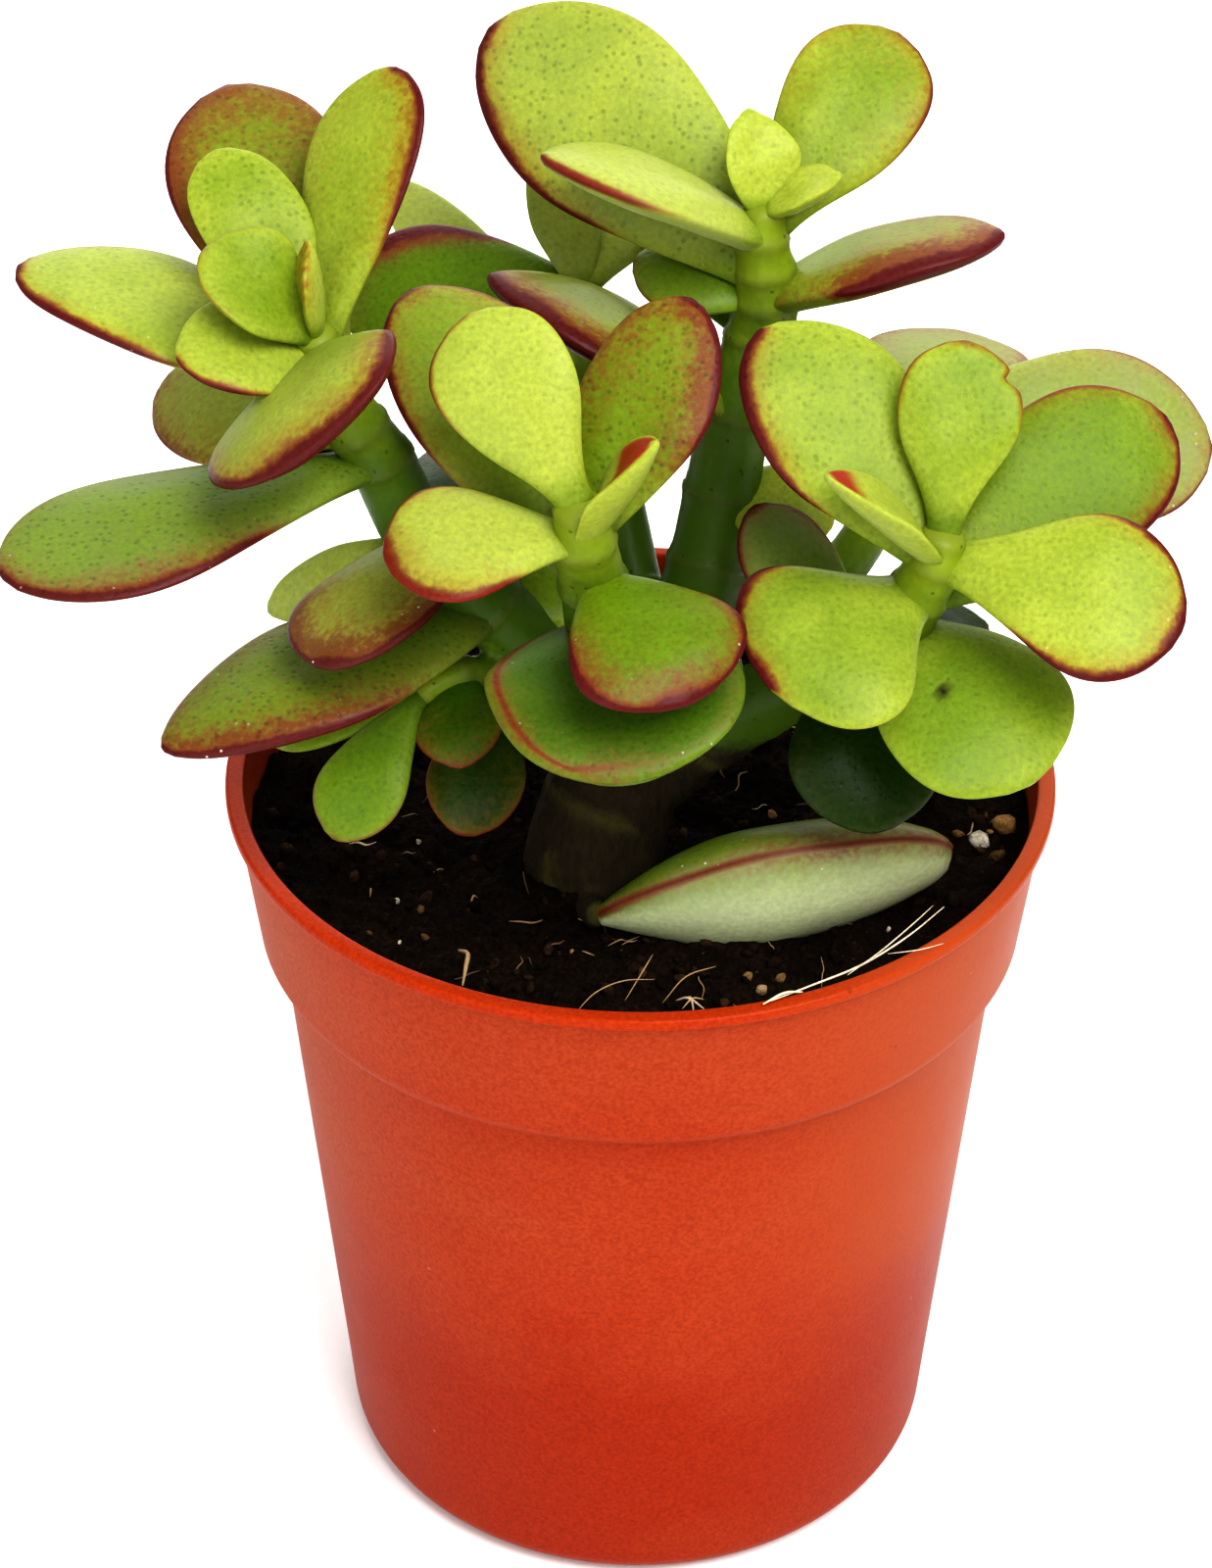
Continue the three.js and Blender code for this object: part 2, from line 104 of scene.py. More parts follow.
# One row for each leaf: name, stem, point on the stem, azimuth, elevation, length, width,
# roll about its length, arch, cup, outline and age. The looks follow: tone from young yellow
# green 0 to dark green 1, width of the red margin in mm, brown blush, how pale and waxy the
# leaf is, and which side is redder, from -1 to 1. Tone and paleness are partly painted light
# and shade: tones past 1 are painted shade for leaves deep inside the plant, and a high
# paleness paints light and a whitish sheen on leaves that are too dark under the lamps.
LEAVES = [Leaf(*row) for row in (
    ("left_1", "left", 4, -152, -3, 40.5, 19, -4, 0.02, 0, "spoon", "old", 0.5, 0.8, 0.34, 0.28, 0.7),
    ("left_2", "left", 7, -92, 2, 20.5, 24, 37, 0.06, 0, "oval", "grown", 0.24, 1.45, 0.35, 0.22, 0.3),
    ("left_3", "left", 5, 146, -8, 26, 16, -29, 0.05, 0, "oval", "old", 0.2, 0.4, 0.5, 0.3, 0.2),
    ("left_4", "left", 6, 115, 35, 36, 18, -9, 0.03, 0.05, "spoon", "old", 0.42, 0.5, 0.85, 0.05, 0.3),
    ("left_5", "left", 7, 70, 49, 30, 13.5, -16, 0.03, 0.05, "spoon", "grown", 0.22, 0.5, 0.3, 0, -0.9),
    ("left_6", "left", 6, 168, 18, 34, 16.5, -4, 0.05, 0.05, "oval", "young", 0.18, 0.58, 0.1, 0.05, 0.3),
    ("left_7", "left", 7, 129, 42, 23.5, 11, -20, 0.03, 0.1, "spoon", "young", 0.3, 0.15, 0.02, 0, 0),
    ("left_8", "left", 8, -179, 39, 13.5, 12, -27, 0.02, 0.3, "oval", "young", 0.34, 0.25, 0.1, 0, 0),
    ("left_9", "left", 7, -151, 16, 15.5, 11, -30, 0.08, 0.1, "oval", "young", 0.18, 0.32, 0.05, 0.05, 0.6),
    ("left_10", "left", 8, 100, 75, 9, 7, -85, 0.02, 0.3, "bud", "young", 0.1, 0.1, 0.5, 0, 0),
    ("left_11", "left", 4, 128, -8, 16, 12, 0, 0.04, 0, "oval", "grown", 0.9, 0.3, 0.2, 0, 0),
    ("left_12", "left", 3, 67, -2, 22, 15, 0, 0.05, 0, "oval", "old", 1.1, 0.3, 0.2, 0, 0),
    ("left_13", "left", 2, 40, -4, 17, 15, 25, 0.04, 0, "oval", "old", 0.4, 0.2, 0.1, 0, 0),
    ("front_1", "front", 2, -83, -6, 23, 26, 4, 0.05, 0.16, "round", "old", 0.82, 0.34, 0.3, 0.05, -0.4),
    ("front_2", "front", 3, -61, -9, 19.5, 18, 7, 0.12, 0, "spoon", "grown", 0.56, 1, 0.4, 0, -0.2),
    ("front_3", "front", 4, -167, 2, 19.5, 14.5, -18, 0.05, 0.05, "spoon", "young",
     0.02, 0.8, 0.22, 0.2, 0.4),
    ("front_4", "front", 5, 136, 45, 21, 14, -36, 0.03, 0.08, "spoon", "young", 0.1, 0.3, 0.02, 0.15, 0.3),
    ("front_5", "front", 4, 58, 43, 26, 13.5, 13, 0.03, 0.05, "oval", "grown", 0.46, 0.75, 0.62, 0, -0.6),
    ("front_6", "front", 3, 128, 32, 36, 17, -17, 0.05, 0.05, "oval", "old", 0.34, 0.6, 0.3, 0.12, 0.3),
    ("front_7", "front", 4, -31, 59, 15.5, 9, 15, 0.02, 0.35, "bud", "young", 0.05, 0.1, 0.15, 0, 0),
    ("top_1", "top", 5, 171, 27, 29, 17, 9, 0.05, 0, "lance", "old", 0.3, 1.4, 0.5, 0, 0.9),
    ("top_2", "top", 7, 164, 9, 14, 10, -23, 0.06, 0, "oval", "old", 0.54, 0.3, 0.2, 0.1, 0),
    ("top_3", "top", 7, -4, 19, 25, 16, -6, 0.05, 0, "lance", "grown", 0.36, 1.3, 0.8, 0.06, -0.9),
    ("top_4", "top", 8, 145, 27, 38.5, 20, -43, 0.02, 0.04, "oval", "grown", 0.18, 0.75, 0.2, 0.25, 0.7),
    ("top_5", "top", 9, -172, 25, 24.5, 15, 5, 0.05, 0, "lance", "grown", 0, 0.26, 0.05, 0.45, 0.9),
    ("top_6", "top", 9, 46, 37, 25.5, 15, 30, 0.03, 0.05, "spoon", "young", 0.3, 0.4, 0.3, 0, -0.2),
    ("top_7", "top", 4, -18, -9, 12, 12, 22, 0.05, 0, "oval", "old", 0.15, 0.2, 0.1, 0, 0),
    ("top_8", "top", 10, 111, 60, 10, 8, 0, 0.02, 0.3, "bud", "young", 0.02, 0.1, 0, 0, 0),
    ("top_9", "top", 10, -7, 30, 8.5, 6.5, 12, 0.02, 0.3, "bud", "young", 0.12, 0.1, 0.12, 0, 0),
    ("top_10", "top", 5, 60, -8, 20, 14, 0, 0.04, 0, "oval", "old", 0.9, 0.3, 0.2, 0, 0),
    ("top_11", "top", 6, 110, 10, 24, 14, 0, 0.04, 0, "oval", "grown", 0.75, 0.3, 0.2, 0, 0),
    ("right_1", "right", 5, -139, -7, 20, 21, -22, 0.06, 0, "spoon", "grown", 0.3, 0.6, 0.12, 0.06, -0.7),
    ("right_2", "right", 4, -51, -20, 22, 20, 15, 0.04, 0.04, "oval", "grown", 0.36, 0.1, 0.1, 0.06, 0),
    ("right_3", "right", 6, -20, -5, 25, 17, 35, 0.04, 0.04, "spoon", "young", 0.17, 0.85, 0.14, 0, -0.3),
    ("right_4", "right", 6, 142, 39, 28.5, 16.5, -28, 0.03, 0.05, "oval", "grown",
     0.26, 0.65, 0.12, 0.05, 0.9),
    ("right_5", "right", 7, 79, 54, 19, 12.5, 9, 0.02, 0.1, "spoon", "young", 0.3, 0.35, 0.02, 0, 0),
    ("right_6", "right", 5, 28, 23, 31, 18, 42, 0.03, 0.04, "oval", "grown", 0.44, 0.6, 0.24, 0, -0.3),
    ("right_7", "right", 3, 134, 38, 18, 10, -18, 0.03, 0.02, "oval", "old", 0.6, 0.5, 0.25, 0.45, 0),
    ("right_8", "right", 3, -81, -42, 18.5, 16, -2, 0.04, 0, "oval", "old", 1.6, 0.1, 0.15, 0, 0),
    ("right_9", "right", 6, -157, 45, 17.5, 8, -6, 0.03, 0.35, "bud", "young", 0, 0.1, 0.08, 0.1, 0),
    ("right_10", "right", 4, 16, -9, 10, 9, 2, 0.04, 0, "oval", "old", 1.3, 0.3, 0.05, 0, 0),
    ("back_1", "back", 4, 0, -1, 33, 20.5, 37, 0.03, 0.04, "oval", "old", 0.3, 0.45, 0.35, 0.75, 0),
    ("back_2", "back", 4, 70, 2, 24, 20, 1, 0.03, 0.04, "oval", "old", 0.34, 0.5, 0.6, 0.7, 0),
    ("back_3", "back", 4, -168, 65, 10, 12, 35, 0.03, 0, "oval", "old", 0.9, 0.4, 0.1, 0.3, 0),
    ("back_4", "back", 3, 100, -10, 24, 15, 0, 0.04, 0, "oval", "old", 0.95, 0.3, 0.2, 0, 0),
    ("rear_1", "rear", 4, 173, -4, 26.5, 16, -33, 0.03, 0.04, "oval", "old", 0.64, 1.7, 0.1, 0, -0.9),
    ("rear_2", "rear", 2, 131, 28, 42.5, 9, -25, 0.03, 0.04, "oval", "young", 0, 0.1, 0, 0.6, 0),
    ("rear_3", "rear", 4, 109, 46, 16.4, 8, 3, 0.03, 0.04, "oval", "young", 0, 0.1, 0, 0.5, 0),
    ("rear_4", "rear", 4, 63, 23, 16, 9, 5, 0.03, 0.04, "spoon", "young", 0, 0.1, 0, 0.5, 0),
    ("low_1", "left", 2, -150, -8, 37.5, 18, -2, 0.04, 0, "lance", "old", 0.5, 0.7, 0.6, 0.16, 0.5),
    ("low_2", "left", 3, -113, -8, 21, 17, 17, 0.06, 0, "oval", "old", 0.22, 0.9, 0.8, 0.35, 0),
    ("low_3", "left", 3, 177, -29, 18.5, 6.5, -47, 0.04, 0, "oval", "young", 0, 0.2, 0.05, 0.6, 0),
    ("low_4", "low", 3, -125, -34, 17.5, 9.5, -10, 0.05, 0, "spoon", "grown", 0.64, 0.3, 0.1, 0.12, 0),
    ("low_5", "low", 3, 170, -22, 18, 9, -19, 0.05, 0, "oval", "old", 0.5, 0.2, 0, 0, 0),
    ("low_6", "low", 2, -88, -22, 11, 9, 12, 0.05, 0, "oval", "old", 0.95, 0.4, 0.35, 0, 0),
    ("low_7", "low", 1, -113, -42, 16.8, 10, -12, 0.05, 0, "spoon", "old", 1.2, 0.4, 0.25, 0, 0),
    ("ground_1", "foot", 2, 12, 4, 37.5, 19.5, -46, 0.03, 0.06, "boat", "old", 0.5, 0.5, 0.5, 1, 0),
)]

# What a leaf's thickness starts from, in mm, and the share of it above the middle surface.
LEAST_THICKNESS = 1.3
UPPER_SHARE = 0.42
# How far a leaf's closed end reaches back from its point of the stem, in mm.
LEAF_HEEL = 0.5
# Thickness along a leaf: the share it keeps in the outer half, where its swell ends, where it
# starts to close toward the tip, and how roundly it closes.
LEAF_BODY = {"outer": 0.72, "swell_end": 0.91, "tip_from": 0.6, "tip_round": 2.6}
# Waves of the soil: change of phase per mm along x and y, starting phase, and height in mm.
SOIL_WAVES = ((0.41, 0.12, 1.3, 0.3), (-0.14, 0.37, 0.4, 0.3), (0.29, 0.83, 0, 0.25))

# ---- Tables of single marks ------------------------------------------------

# A bite out of a leaf's edge: share of the length, side, depth and half length as shares.
TORN_EDGES = {"right_5": (0.84, -1, 0.2, 0.035)}
# A small brown scar: share of the length, place across, radius in mm.
SCARS = {"right_2": (0.45, -0.16, 1.0)}
# How dark the pores are, for leaves that show them most.
PORES = {"top_4": 0.6, "left_1": 0.6, "low_1": 0.6, "right_4": 0.4, "left_7": 0.45, "left_4": 0.5,
         "front_5": 0.5}
FAINT_PORES = 0.22
# White specks of dried salt near the edge.
SALT = {"ground_1": 1.0, "low_1": 0.8, "low_2": 0.9, "front_1": 0.6, "front_2": 0.5, "left_2": 0.5,
        "top_1": 0.7, "left_6": 0.4, "right_3": 0.4, "back_1": 0.6, "left_1": 0.3}
# Leaves with a red line set in from the edge, by so many mm.
INSET_RIMS = {"front_1": 1.5}
# Leaves with a red line as strong at the base as at the tip.
EVEN_RIMS = ("ground_1", "front_1")
# Folded young leaves that are red inside, from this share of the length on.
RED_TIPS = {"front_7": 0.5, "right_9": 0.74}

# Crumbs that stand out: x and y in mm, size in mm, and shade from dark 0 to white 1.
SHOWN_CRUMBS = (
    (36.7, -5.5, 1.25, 1.0), (39.6, -3.4, 1.45, 0.78), (34.4, -5.1, 0.8, 0.7),
    (12.6, -32.8, 0.62, 0.86), (14.6, -30.4, 0.75, 0.66), (-9.4, -26.5, 0.8, 0.5),
    (11.2, -31.2, 0.7, 0.7), (38.3, -8.6, 0.9, 0.6), (16.4, -32.6, 0.6, 0.62),
    (4.2, -31.4, 0.7, 0.4), (-3.2, -33.8, 0.8, 0.34), (8.6, -34.6, 0.75, 0.55),
)
# Shades of the scattered crumbs with how often each comes, of the pale grit, and of the
# scattered fibres, again with how often each comes.
CRUMB_SHADES = ((0.02, 0.12, 0.3, 0.55), (0.5, 0.28, 0.17, 0.05))
GRIT_SHADES = (0.62, 0.8, 0.97)
FIBRE_SHADES = ((0.1, 0.3, 0.5, 0.8), (0.35, 0.35, 0.2, 0.1))

# Threads that stand out: points in mm, radius and how pale they are.
SHOWN_FIBRES = (
    (((-18.6, -29.0, 86.6), (-17.6, -30.6, 87.4), (-17.7, -32.6, 87.3), (-18.0, -34.4, 86.2)), 0.26, 0.56),
    (((3.8, -36.6, 86.2), (5.0, -37.2, 87.0), (6.6, -38.2, 86.4)), 0.15, 0.72),
    (((5.0, -36.2, 86.4), (5.3, -37.3, 87.0), (5.6, -38.8, 86.2)), 0.13, 0.66),
    (((6.6, -36.4, 86.2), (5.4, -37.3, 87.0), (4.4, -38.2, 86.4)), 0.11, 0.6),
    (((-6.6, -38.6, 85.8), (-4.4, -37.2, 87.6), (-1.6, -36.0, 88.2), (1.6, -35.2, 87.8)), 0.07, 0.56),
    (((-1.4, -36.4, 86.0), (0.4, -34.6, 88.4), (1.4, -32.6, 89.0)), 0.08, 0.46),
    (((2.4, -36.8, 86.0), (4.8, -35.2, 88.2), (7.8, -34.0, 88.6)), 0.08, 0.42),
    (((13.2, -42.0, 90.5), (17.6, -39.4, 90.6), (22.4, -36.0, 90.4), (27.4, -31.6, 90.8),
      (31.2, -28.2, 92.0)), 0.12, 0.92),
    (((21.0, -37.6, 90.4), (24.6, -34.0, 90.8), (28.2, -30.2, 91.6), (30.0, -28.8, 92.6)), 0.08, 0.88),
    (((12.4, -42.4, 90.4), (14.6, -41.2, 90.9), (16.4, -40.4, 90.4)), 0.15, 0.9),
    (((25.2, -34.2, 90.5), (28.4, -34.0, 90.9), (31.0, -32.4, 90.5)), 0.06, 0.85),
)

# Area lights: name, the setting that holds their power, size and place in metres.
LIGHTS = (
    ("Key", "key", 0.5, (0.25, -0.35, 0.75)),
    ("Fill", "fill", 0.6, (-0.35, -0.75, 0.35)),
    ("Back", "back", 0.8, (0.05, 0.6, 0.5)),
)


# ---- Settings --------------------------------------------------------------

def length_setting(name, description, default):
    return bpy.props.FloatProperty(
        name=name, description=description, default=default, min=0, unit="LENGTH", subtype="DISTANCE")


def share_setting(name, description, default):
    return bpy.props.FloatProperty(
        name=name, description=description, default=default, min=0, max=1, subtype="FACTOR")


def count_setting(name, description, default):
    return bpy.props.IntProperty(name=name, description=description, default=default, min=1)


def colour_setting(name, description, default):
    return bpy.props.FloatVectorProperty(
        name=name, description=description, default=default, size=3, min=0, max=1, subtype="COLOR")


def angle_setting(name, description, degrees):
    return bpy.props.FloatProperty(
        name=name, description=description, default=math.radians(degrees), subtype="ANGLE",
        unit="ROTATION")


def power_setting(name, description, default):
    return bpy.props.FloatProperty(
        name=name, description=description, default=default, min=0, unit="POWER")


class PotSettings(bpy.types.PropertyGroup):
    height: length_setting("Height", "From the base to the top of the lip", 0.09)
    rim_radius: length_setting("Rim radius", "Outer radius of the lip", 0.045)
    lip_width: length_setting("Lip width", "How wide the flat top of the lip is", 0.002)
    lip_height: length_setting("Lip height", "How high the lip stands on the collar", 0.0012)
    collar_top: length_setting("Collar top radius", "Outer radius under the lip", 0.0441)
    collar_foot_radius: length_setting("Collar foot radius", "Outer radius above the step", 0.0422)
    collar_foot: length_setting("Collar foot", "Height of the collar's lower edge", 0.0726)
    shoulder_radius: length_setting("Shoulder radius", "Outer radius below the step", 0.0398)
    shoulder: length_setting("Shoulder", "Height of the step's lower edge", 0.07)
    base_radius: length_setting("Base radius", "Outer radius at the base", 0.0342)
    base_round: length_setting("Base rounding", "Radius of the rounded lower edge", 0.0036)
    wall: length_setting("Wall", "Thickness of the wall", 0.0011)
    floor: length_setting("Floor", "Thickness of the bottom", 0.0014)
    drain_count: count_setting("Drain holes", "How many holes the bottom has", 6)
    drain_radius: length_setting("Drain hole radius", "Radius of each hole", 0.004)
    drain_ring: length_setting("Drain ring radius", "How far the holes lie from the centre", 0.022)
    segments: count_setting("Segments", "Faces round the pot", 176)
    plastic: colour_setting("Plastic", "Main colour of the plastic", (0.31, 0.030, 0.005))
    low: colour_setting("Low", "Deeper red of the lower third", (0.265, 0.024, 0.004))
    # Partly painted light: a dull, rubbed plastic colour that on the upper sides paints the sheen of a
    # grazing reflection.
    rubbed_and_sheen_colour: colour_setting("Haze", "Colour where the plastic is rubbed and dusty", (0.32, 0.058, 0.017))
    lip: colour_setting("Lip", "Colour of the glossier lip", (0.34, 0.034, 0.004))
    # Painted light: the lighter orange that the upper right side is given, as if more light fell there.
    painted_light_side: colour_setting("Sunny side", "Lighter orange of the right side", (0.34, 0.066, 0.014))
    dust: colour_setting("Dust", "Colour of pale specks", (0.45, 0.2, 0.12))
    dirt: colour_setting("Dirt", "Colour of dark specks", (0.12, 0.012, 0.005))


class SoilSettings(bpy.types.PropertyGroup):
    level: length_setting("Level", "Mean height of the surface", 0.0846)
    mound: length_setting("Mound", "How much higher the middle lies than the edge", 0.0014)
    clod: length_setting("Clod size", "Distance between the clods of the surface", 0.0026)
    relief: length_setting("Relief", "How deep the surface is between clods", 0.0011)
    segments: count_setting("Segments", "Points round the soil", 340)
    rings: count_setting("Rings", "Rings from the pot's wall to the middle", 104)
    crumbs: count_setting("Crumbs", "Loose crumbs on the surface", 1500)
    grit: count_setting("Grit", "Pale grains on the surface", 46)
    fibres: count_setting("Fibres", "Rootlets and fibres on the surface", 110)
    seed: count_setting("Seed", "Number that the random places start from", 7)
    peat: colour_setting("Peat", "Colour of the moist peat", (0.009, 0.0058, 0.004))
    light_peat: colour_setting("Light peat", "Colour of the drier patches", (0.024, 0.014, 0.008))
    crumb: colour_setting("Crumb", "Colour of brown crumbs", (0.05, 0.028, 0.015))
    bark: colour_setting("Bark", "Colour of light bark crumbs", (0.34, 0.20, 0.075))
    stone: colour_setting("Stone", "Colour of white grains", (0.62, 0.56, 0.44))
    root: colour_setting("Root", "Colour of dark rootlets", (0.06, 0.03, 0.015))
    straw: colour_setting("Straw", "Colour of dry fibres", (0.42, 0.27, 0.13))
    bleached: colour_setting("Bleached", "Colour of the palest fibres", (0.75, 0.66, 0.5))
    streak: colour_setting("Streak", "Colour of darker stretches of a fibre", (0.14, 0.07, 0.03))


class StemSettings(bpy.types.PropertyGroup):
    voxel: length_setting("Voxel", "Grid size that the stems are joined with", 0.00042)
    knuckle: length_setting("Knuckle", "How far the stem swells at a pair of leaves", 0.00028)
    bark_top: length_setting("Bark top", "Height where bark gives way to green skin", 0.107)
    # The green skin is darker than the shoots' own green: painted shade for the shade inside the plant.
    skin: colour_setting("Skin", "Colour of the green shoots", (0.058, 0.11, 0.007))
    fresh: colour_setting("Fresh skin", "Colour of the newest shoots", (0.20, 0.26, 0.012))
    # Bark and ridge are darker than the trunk's own brown, as painted shade of the trunk's shadow; the
    # lighter ridges are partly a painted highlight.
    bark: colour_setting("Bark", "Colour of the woody trunk", (0.022, 0.015, 0.006))
    ridge: colour_setting("Bark ridge", "Colour of the bark's raised parts", (0.034, 0.023, 0.010))
    scar: colour_setting("Leaf scar", "Colour of the rings where leaves sit", (0.10, 0.10, 0.02))
    fleck: colour_setting("Fleck", "Colour of small dark flecks", (0.025, 0.02, 0.006))


class LeafSettings(bpy.types.PropertyGroup):
    stations: count_setting("Stations", "Rings along a leaf", 46)
    sides: count_setting("Sides", "Points round a leaf", 36)
    waviness: share_setting("Waviness", "How uneven the outline is", 0.035)
    seed: count_setting("Seed", "Number that the random shapes start from", 11)
    young: colour_setting("Young", "Colour of the newest leaves", (0.29, 0.335, 0.045))
    grown: colour_setting("Grown", "Colour of grown leaves", (0.12, 0.19, 0.007))
    old: colour_setting("Old", "Colour of the oldest leaves", (0.038, 0.10, 0.003))
    # Painted shade: the green that tones past 1 turn to, standing in for the shade deep inside the plant.
    dark: colour_setting("Dark", "Colour of leaves deep in the plant", (0.012, 0.032, 0.002))
    joint: colour_setting("Joint", "Green of a young leaf's neck at the shoot", (0.14, 0.2, 0.01))
    old_joint: colour_setting("Old joint", "Green of an older leaf's neck", (0.07, 0.12, 0.007))
    # The underside's own paler green, made lighter still as painted light on undersides that lie in shade.
    under: colour_setting("Underside", "Colour of the pale underside", (0.60, 0.67, 0.38))
    golden: colour_setting("Golden", "Colour between green and red", (0.25, 0.16, 0.012))
    olive: colour_setting("Olive", "The same on older, greener leaves", (0.14, 0.095, 0.014))
    blush: colour_setting("Blush", "Brown red flush on the blade", (0.15, 0.042, 0.012))
    margin: colour_setting("Margin", "Dark red of the margin", (0.084, 0.010, 0.009))
    young_margin: colour_setting(
        "Young margin", "Brighter red of a young leaf's margin", (0.156, 0.018, 0.009))
    pore: colour_setting("Pore", "What a pore leaves of the colour round it", (0.42, 0.5, 0.35))
    salt: colour_setting("Salt", "Colour of dried salt", (0.6, 0.58, 0.45))
    # Partly painted light: besides the waxy coat, this whitish colour paints sheen and light on pale
    # leaves.
    bloom_and_sheen: colour_setting("Bloom", "Colour of the waxy bloom", (0.33, 0.35, 0.22))
    scar: colour_setting("Scar", "Colour of a healed scar", (0.02, 0.012, 0.004))
    red_tip: colour_setting("Red tip", "Red inside a folded young leaf", (0.25, 0.016, 0.008))


class StageSettings(bpy.types.PropertyGroup):
    pitch: angle_setting("Pitch", "How far the camera looks down", 35.12)
    yaw: angle_setting("Yaw", "How far the camera is turned to the left", 0.61)
    place: bpy.props.FloatVectorProperty(
        name="Camera place", description="Where the camera stands",
        default=(0, -0.3495, 0.3331), size=3, unit="LENGTH", subtype="TRANSLATION")
    lens: bpy.props.FloatProperty(
        name="Lens", description="Focal length in millimetres for a 36 mm frame", default=90)
    sky: bpy.props.FloatProperty(
        name="Sky", description="Strength of the light from all sides", default=0.5, min=0)
    key: power_setting("Key", "Power of the large soft light from above", 6.5)
    fill: power_setting("Fill", "Power of the soft light from the front", 2.5)
    back: power_setting("Back", "Power of the soft light from behind", 3.5)
    paper: colour_setting("Paper", "Colour of the floor", (0.93, 0.93, 0.925))
    light_paper: colour_setting("Light paper", "Colour of its lighter patches", (0.96, 0.955, 0.95))


def in_mm(settings):
    """The lengths among a group's settings, in millimetres."""
    lengths = [key for key, kind in settings.bl_rna.properties.items()
               if getattr(kind, "unit", "NONE") == "LENGTH"]
    return SimpleNamespace(**{key: getattr(settings, key) / MM for key in lengths})


# ---- Meshes ----------------------------------------------------------------

def closed_skin(rings, first_pole, last_pole):
    """Vertices and faces of a tube through rings of points, closed by a pole at both ends."""
    count, sides, _ = rings.shape
    points = np.vstack([rings.reshape(-1, 3), first_pole, last_pole])
    first = count * sides
    faces = []
    for k in range(sides):
        after = (k + 1) % sides
        faces.append((first, after, k))
        for low in range(0, (count - 1) * sides, sides):
            faces.append((low + k, low + after, low + sides + after, low + sides + k))
        faces.append((first - sides + k, first - sides + after, first + 1))
    return points, faces


def joined(skins):
    """Several sets of vertices and faces as one, and the number of vertices in each."""
    points = []
    faces = []
    start = 0
    for some_points, some_faces in skins:
        points.append(some_points)
        faces.extend(tuple(i + start for i in face) for face in some_faces)
        start += len(some_points)
    return np.vstack(points), faces, [len(some_points) for some_points in points]


def add_layer(mesh, name, values):
    """Stores a number or a vector at each vertex, for the material to read."""
    values = np.asarray(values, np.float32)
    kind, key = ("FLOAT", "value") if values.ndim == 1 else ("FLOAT_VECTOR", "vector")
    mesh.attributes.new(name, kind, "POINT").data.foreach_set(key, values.ravel())


def make_piece(name, points, faces, material, layers=None):
    """A smooth mesh object from points in millimetres."""
    mesh = bpy.data.meshes.new(name)
    mesh.from_pydata((points * MM).tolist(), [], faces)
    mesh.shade_smooth()
    mesh.materials.append(material)
    for key, values in (layers or {}).items():
        add_layer(mesh, key, values)
    piece = bpy.data.objects.new(name, mesh)
    bpy.context.scene.collection.objects.link(piece)
    return piece


def dress(piece, slot, *nodes):
    """Fixes a piece to the plant's body and hides the solids that it stands for. Its slot, the name of its
    finish, is not used.
    """
    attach(piece, BODY)
    if nodes:
        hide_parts(*nodes)


def bake_modifiers(piece):
    """Puts the result of a piece's modifiers into its mesh."""
    graph = bpy.context.evaluated_depsgraph_get()
    shaped = bpy.data.meshes.new_from_object(piece.evaluated_get(graph))
    plain = piece.data
    piece.modifiers.clear()
    piece.data = shaped
    bpy.data.meshes.remove(plain)
    shaped.name = piece.name


def read_vectors(items, key):
    """One vector of each vertex of a mesh, as rows of an array."""
    values = np.zeros(len(items) * 3, np.float32)
    items.foreach_get(key, values)
    return values.reshape(-1, 3).astype(float)


def ease(values, start, end):
    """Rises smoothly from 0 at start to 1 at end."""
    share = np.clip((np.asarray(values, float) - start) / (end - start), 0, 1)
    return share * share * (3 - 2 * share)


def hump(distance, reach):
    """1 at no distance, falling away like a bell within a few times the reach."""
    return np.exp(-(distance / reach) ** 2)


def unit(vectors):
    return vectors / np.linalg.norm(vectors, axis=-1, keepdims=True)


def circle(count):
    """Angles spread evenly round a circle."""
    return np.linspace(0, 2 * np.pi, count, endpoint=False)


# ---- Shader helpers --------------------------------------------------------

class Wire:
    """A value in a shader tree. Sums and products of wires become math nodes."""

    def __init__(self, sheet, socket):
        self.sheet = sheet
        self.socket = socket

    def __add__(self, other):
        return self.sheet.math("ADD", self, other)

    def __sub__(self, other):
        return self.sheet.math("SUBTRACT", self, other)

    def __rsub__(self, other):
        return self.sheet.math("SUBTRACT", other, self)

    def __mul__(self, other):
        return self.sheet.math("MULTIPLY", self, other)

    def __truediv__(self, other):
        return self.sheet.math("DIVIDE", self, other)

    def __abs__(self):
        return self.sheet.math("ABSOLUTE", self)

    def ease(self, start, end, low=0.0, high=1.0):
        """Goes smoothly from low to high as this value goes from start to end."""
        spans = {"Value": self, "From Min": start, "From Max": end, "To Min": low, "To Max": high}
        return self.sheet.node("ShaderNodeMapRange", spans, interpolation_type="SMOOTHSTEP")["Result"]


class Outputs:
    """A node's outputs as wires, by name or number."""

    def __init__(self, sheet, node):
        self.sheet = sheet
        self.node = node

    def __getitem__(self, key):
        return Wire(self.sheet, self.node.outputs[key])


def plug(socket, value):
    """Links a wire to a socket, or sets the socket's own number, vector or colour."""
    if isinstance(value, Wire):
        value.sheet.tree.links.new(value.socket, socket)
    elif socket.type == "RGBA":
        socket.default_value = (*value, 1)
    else:
        socket.default_value = value


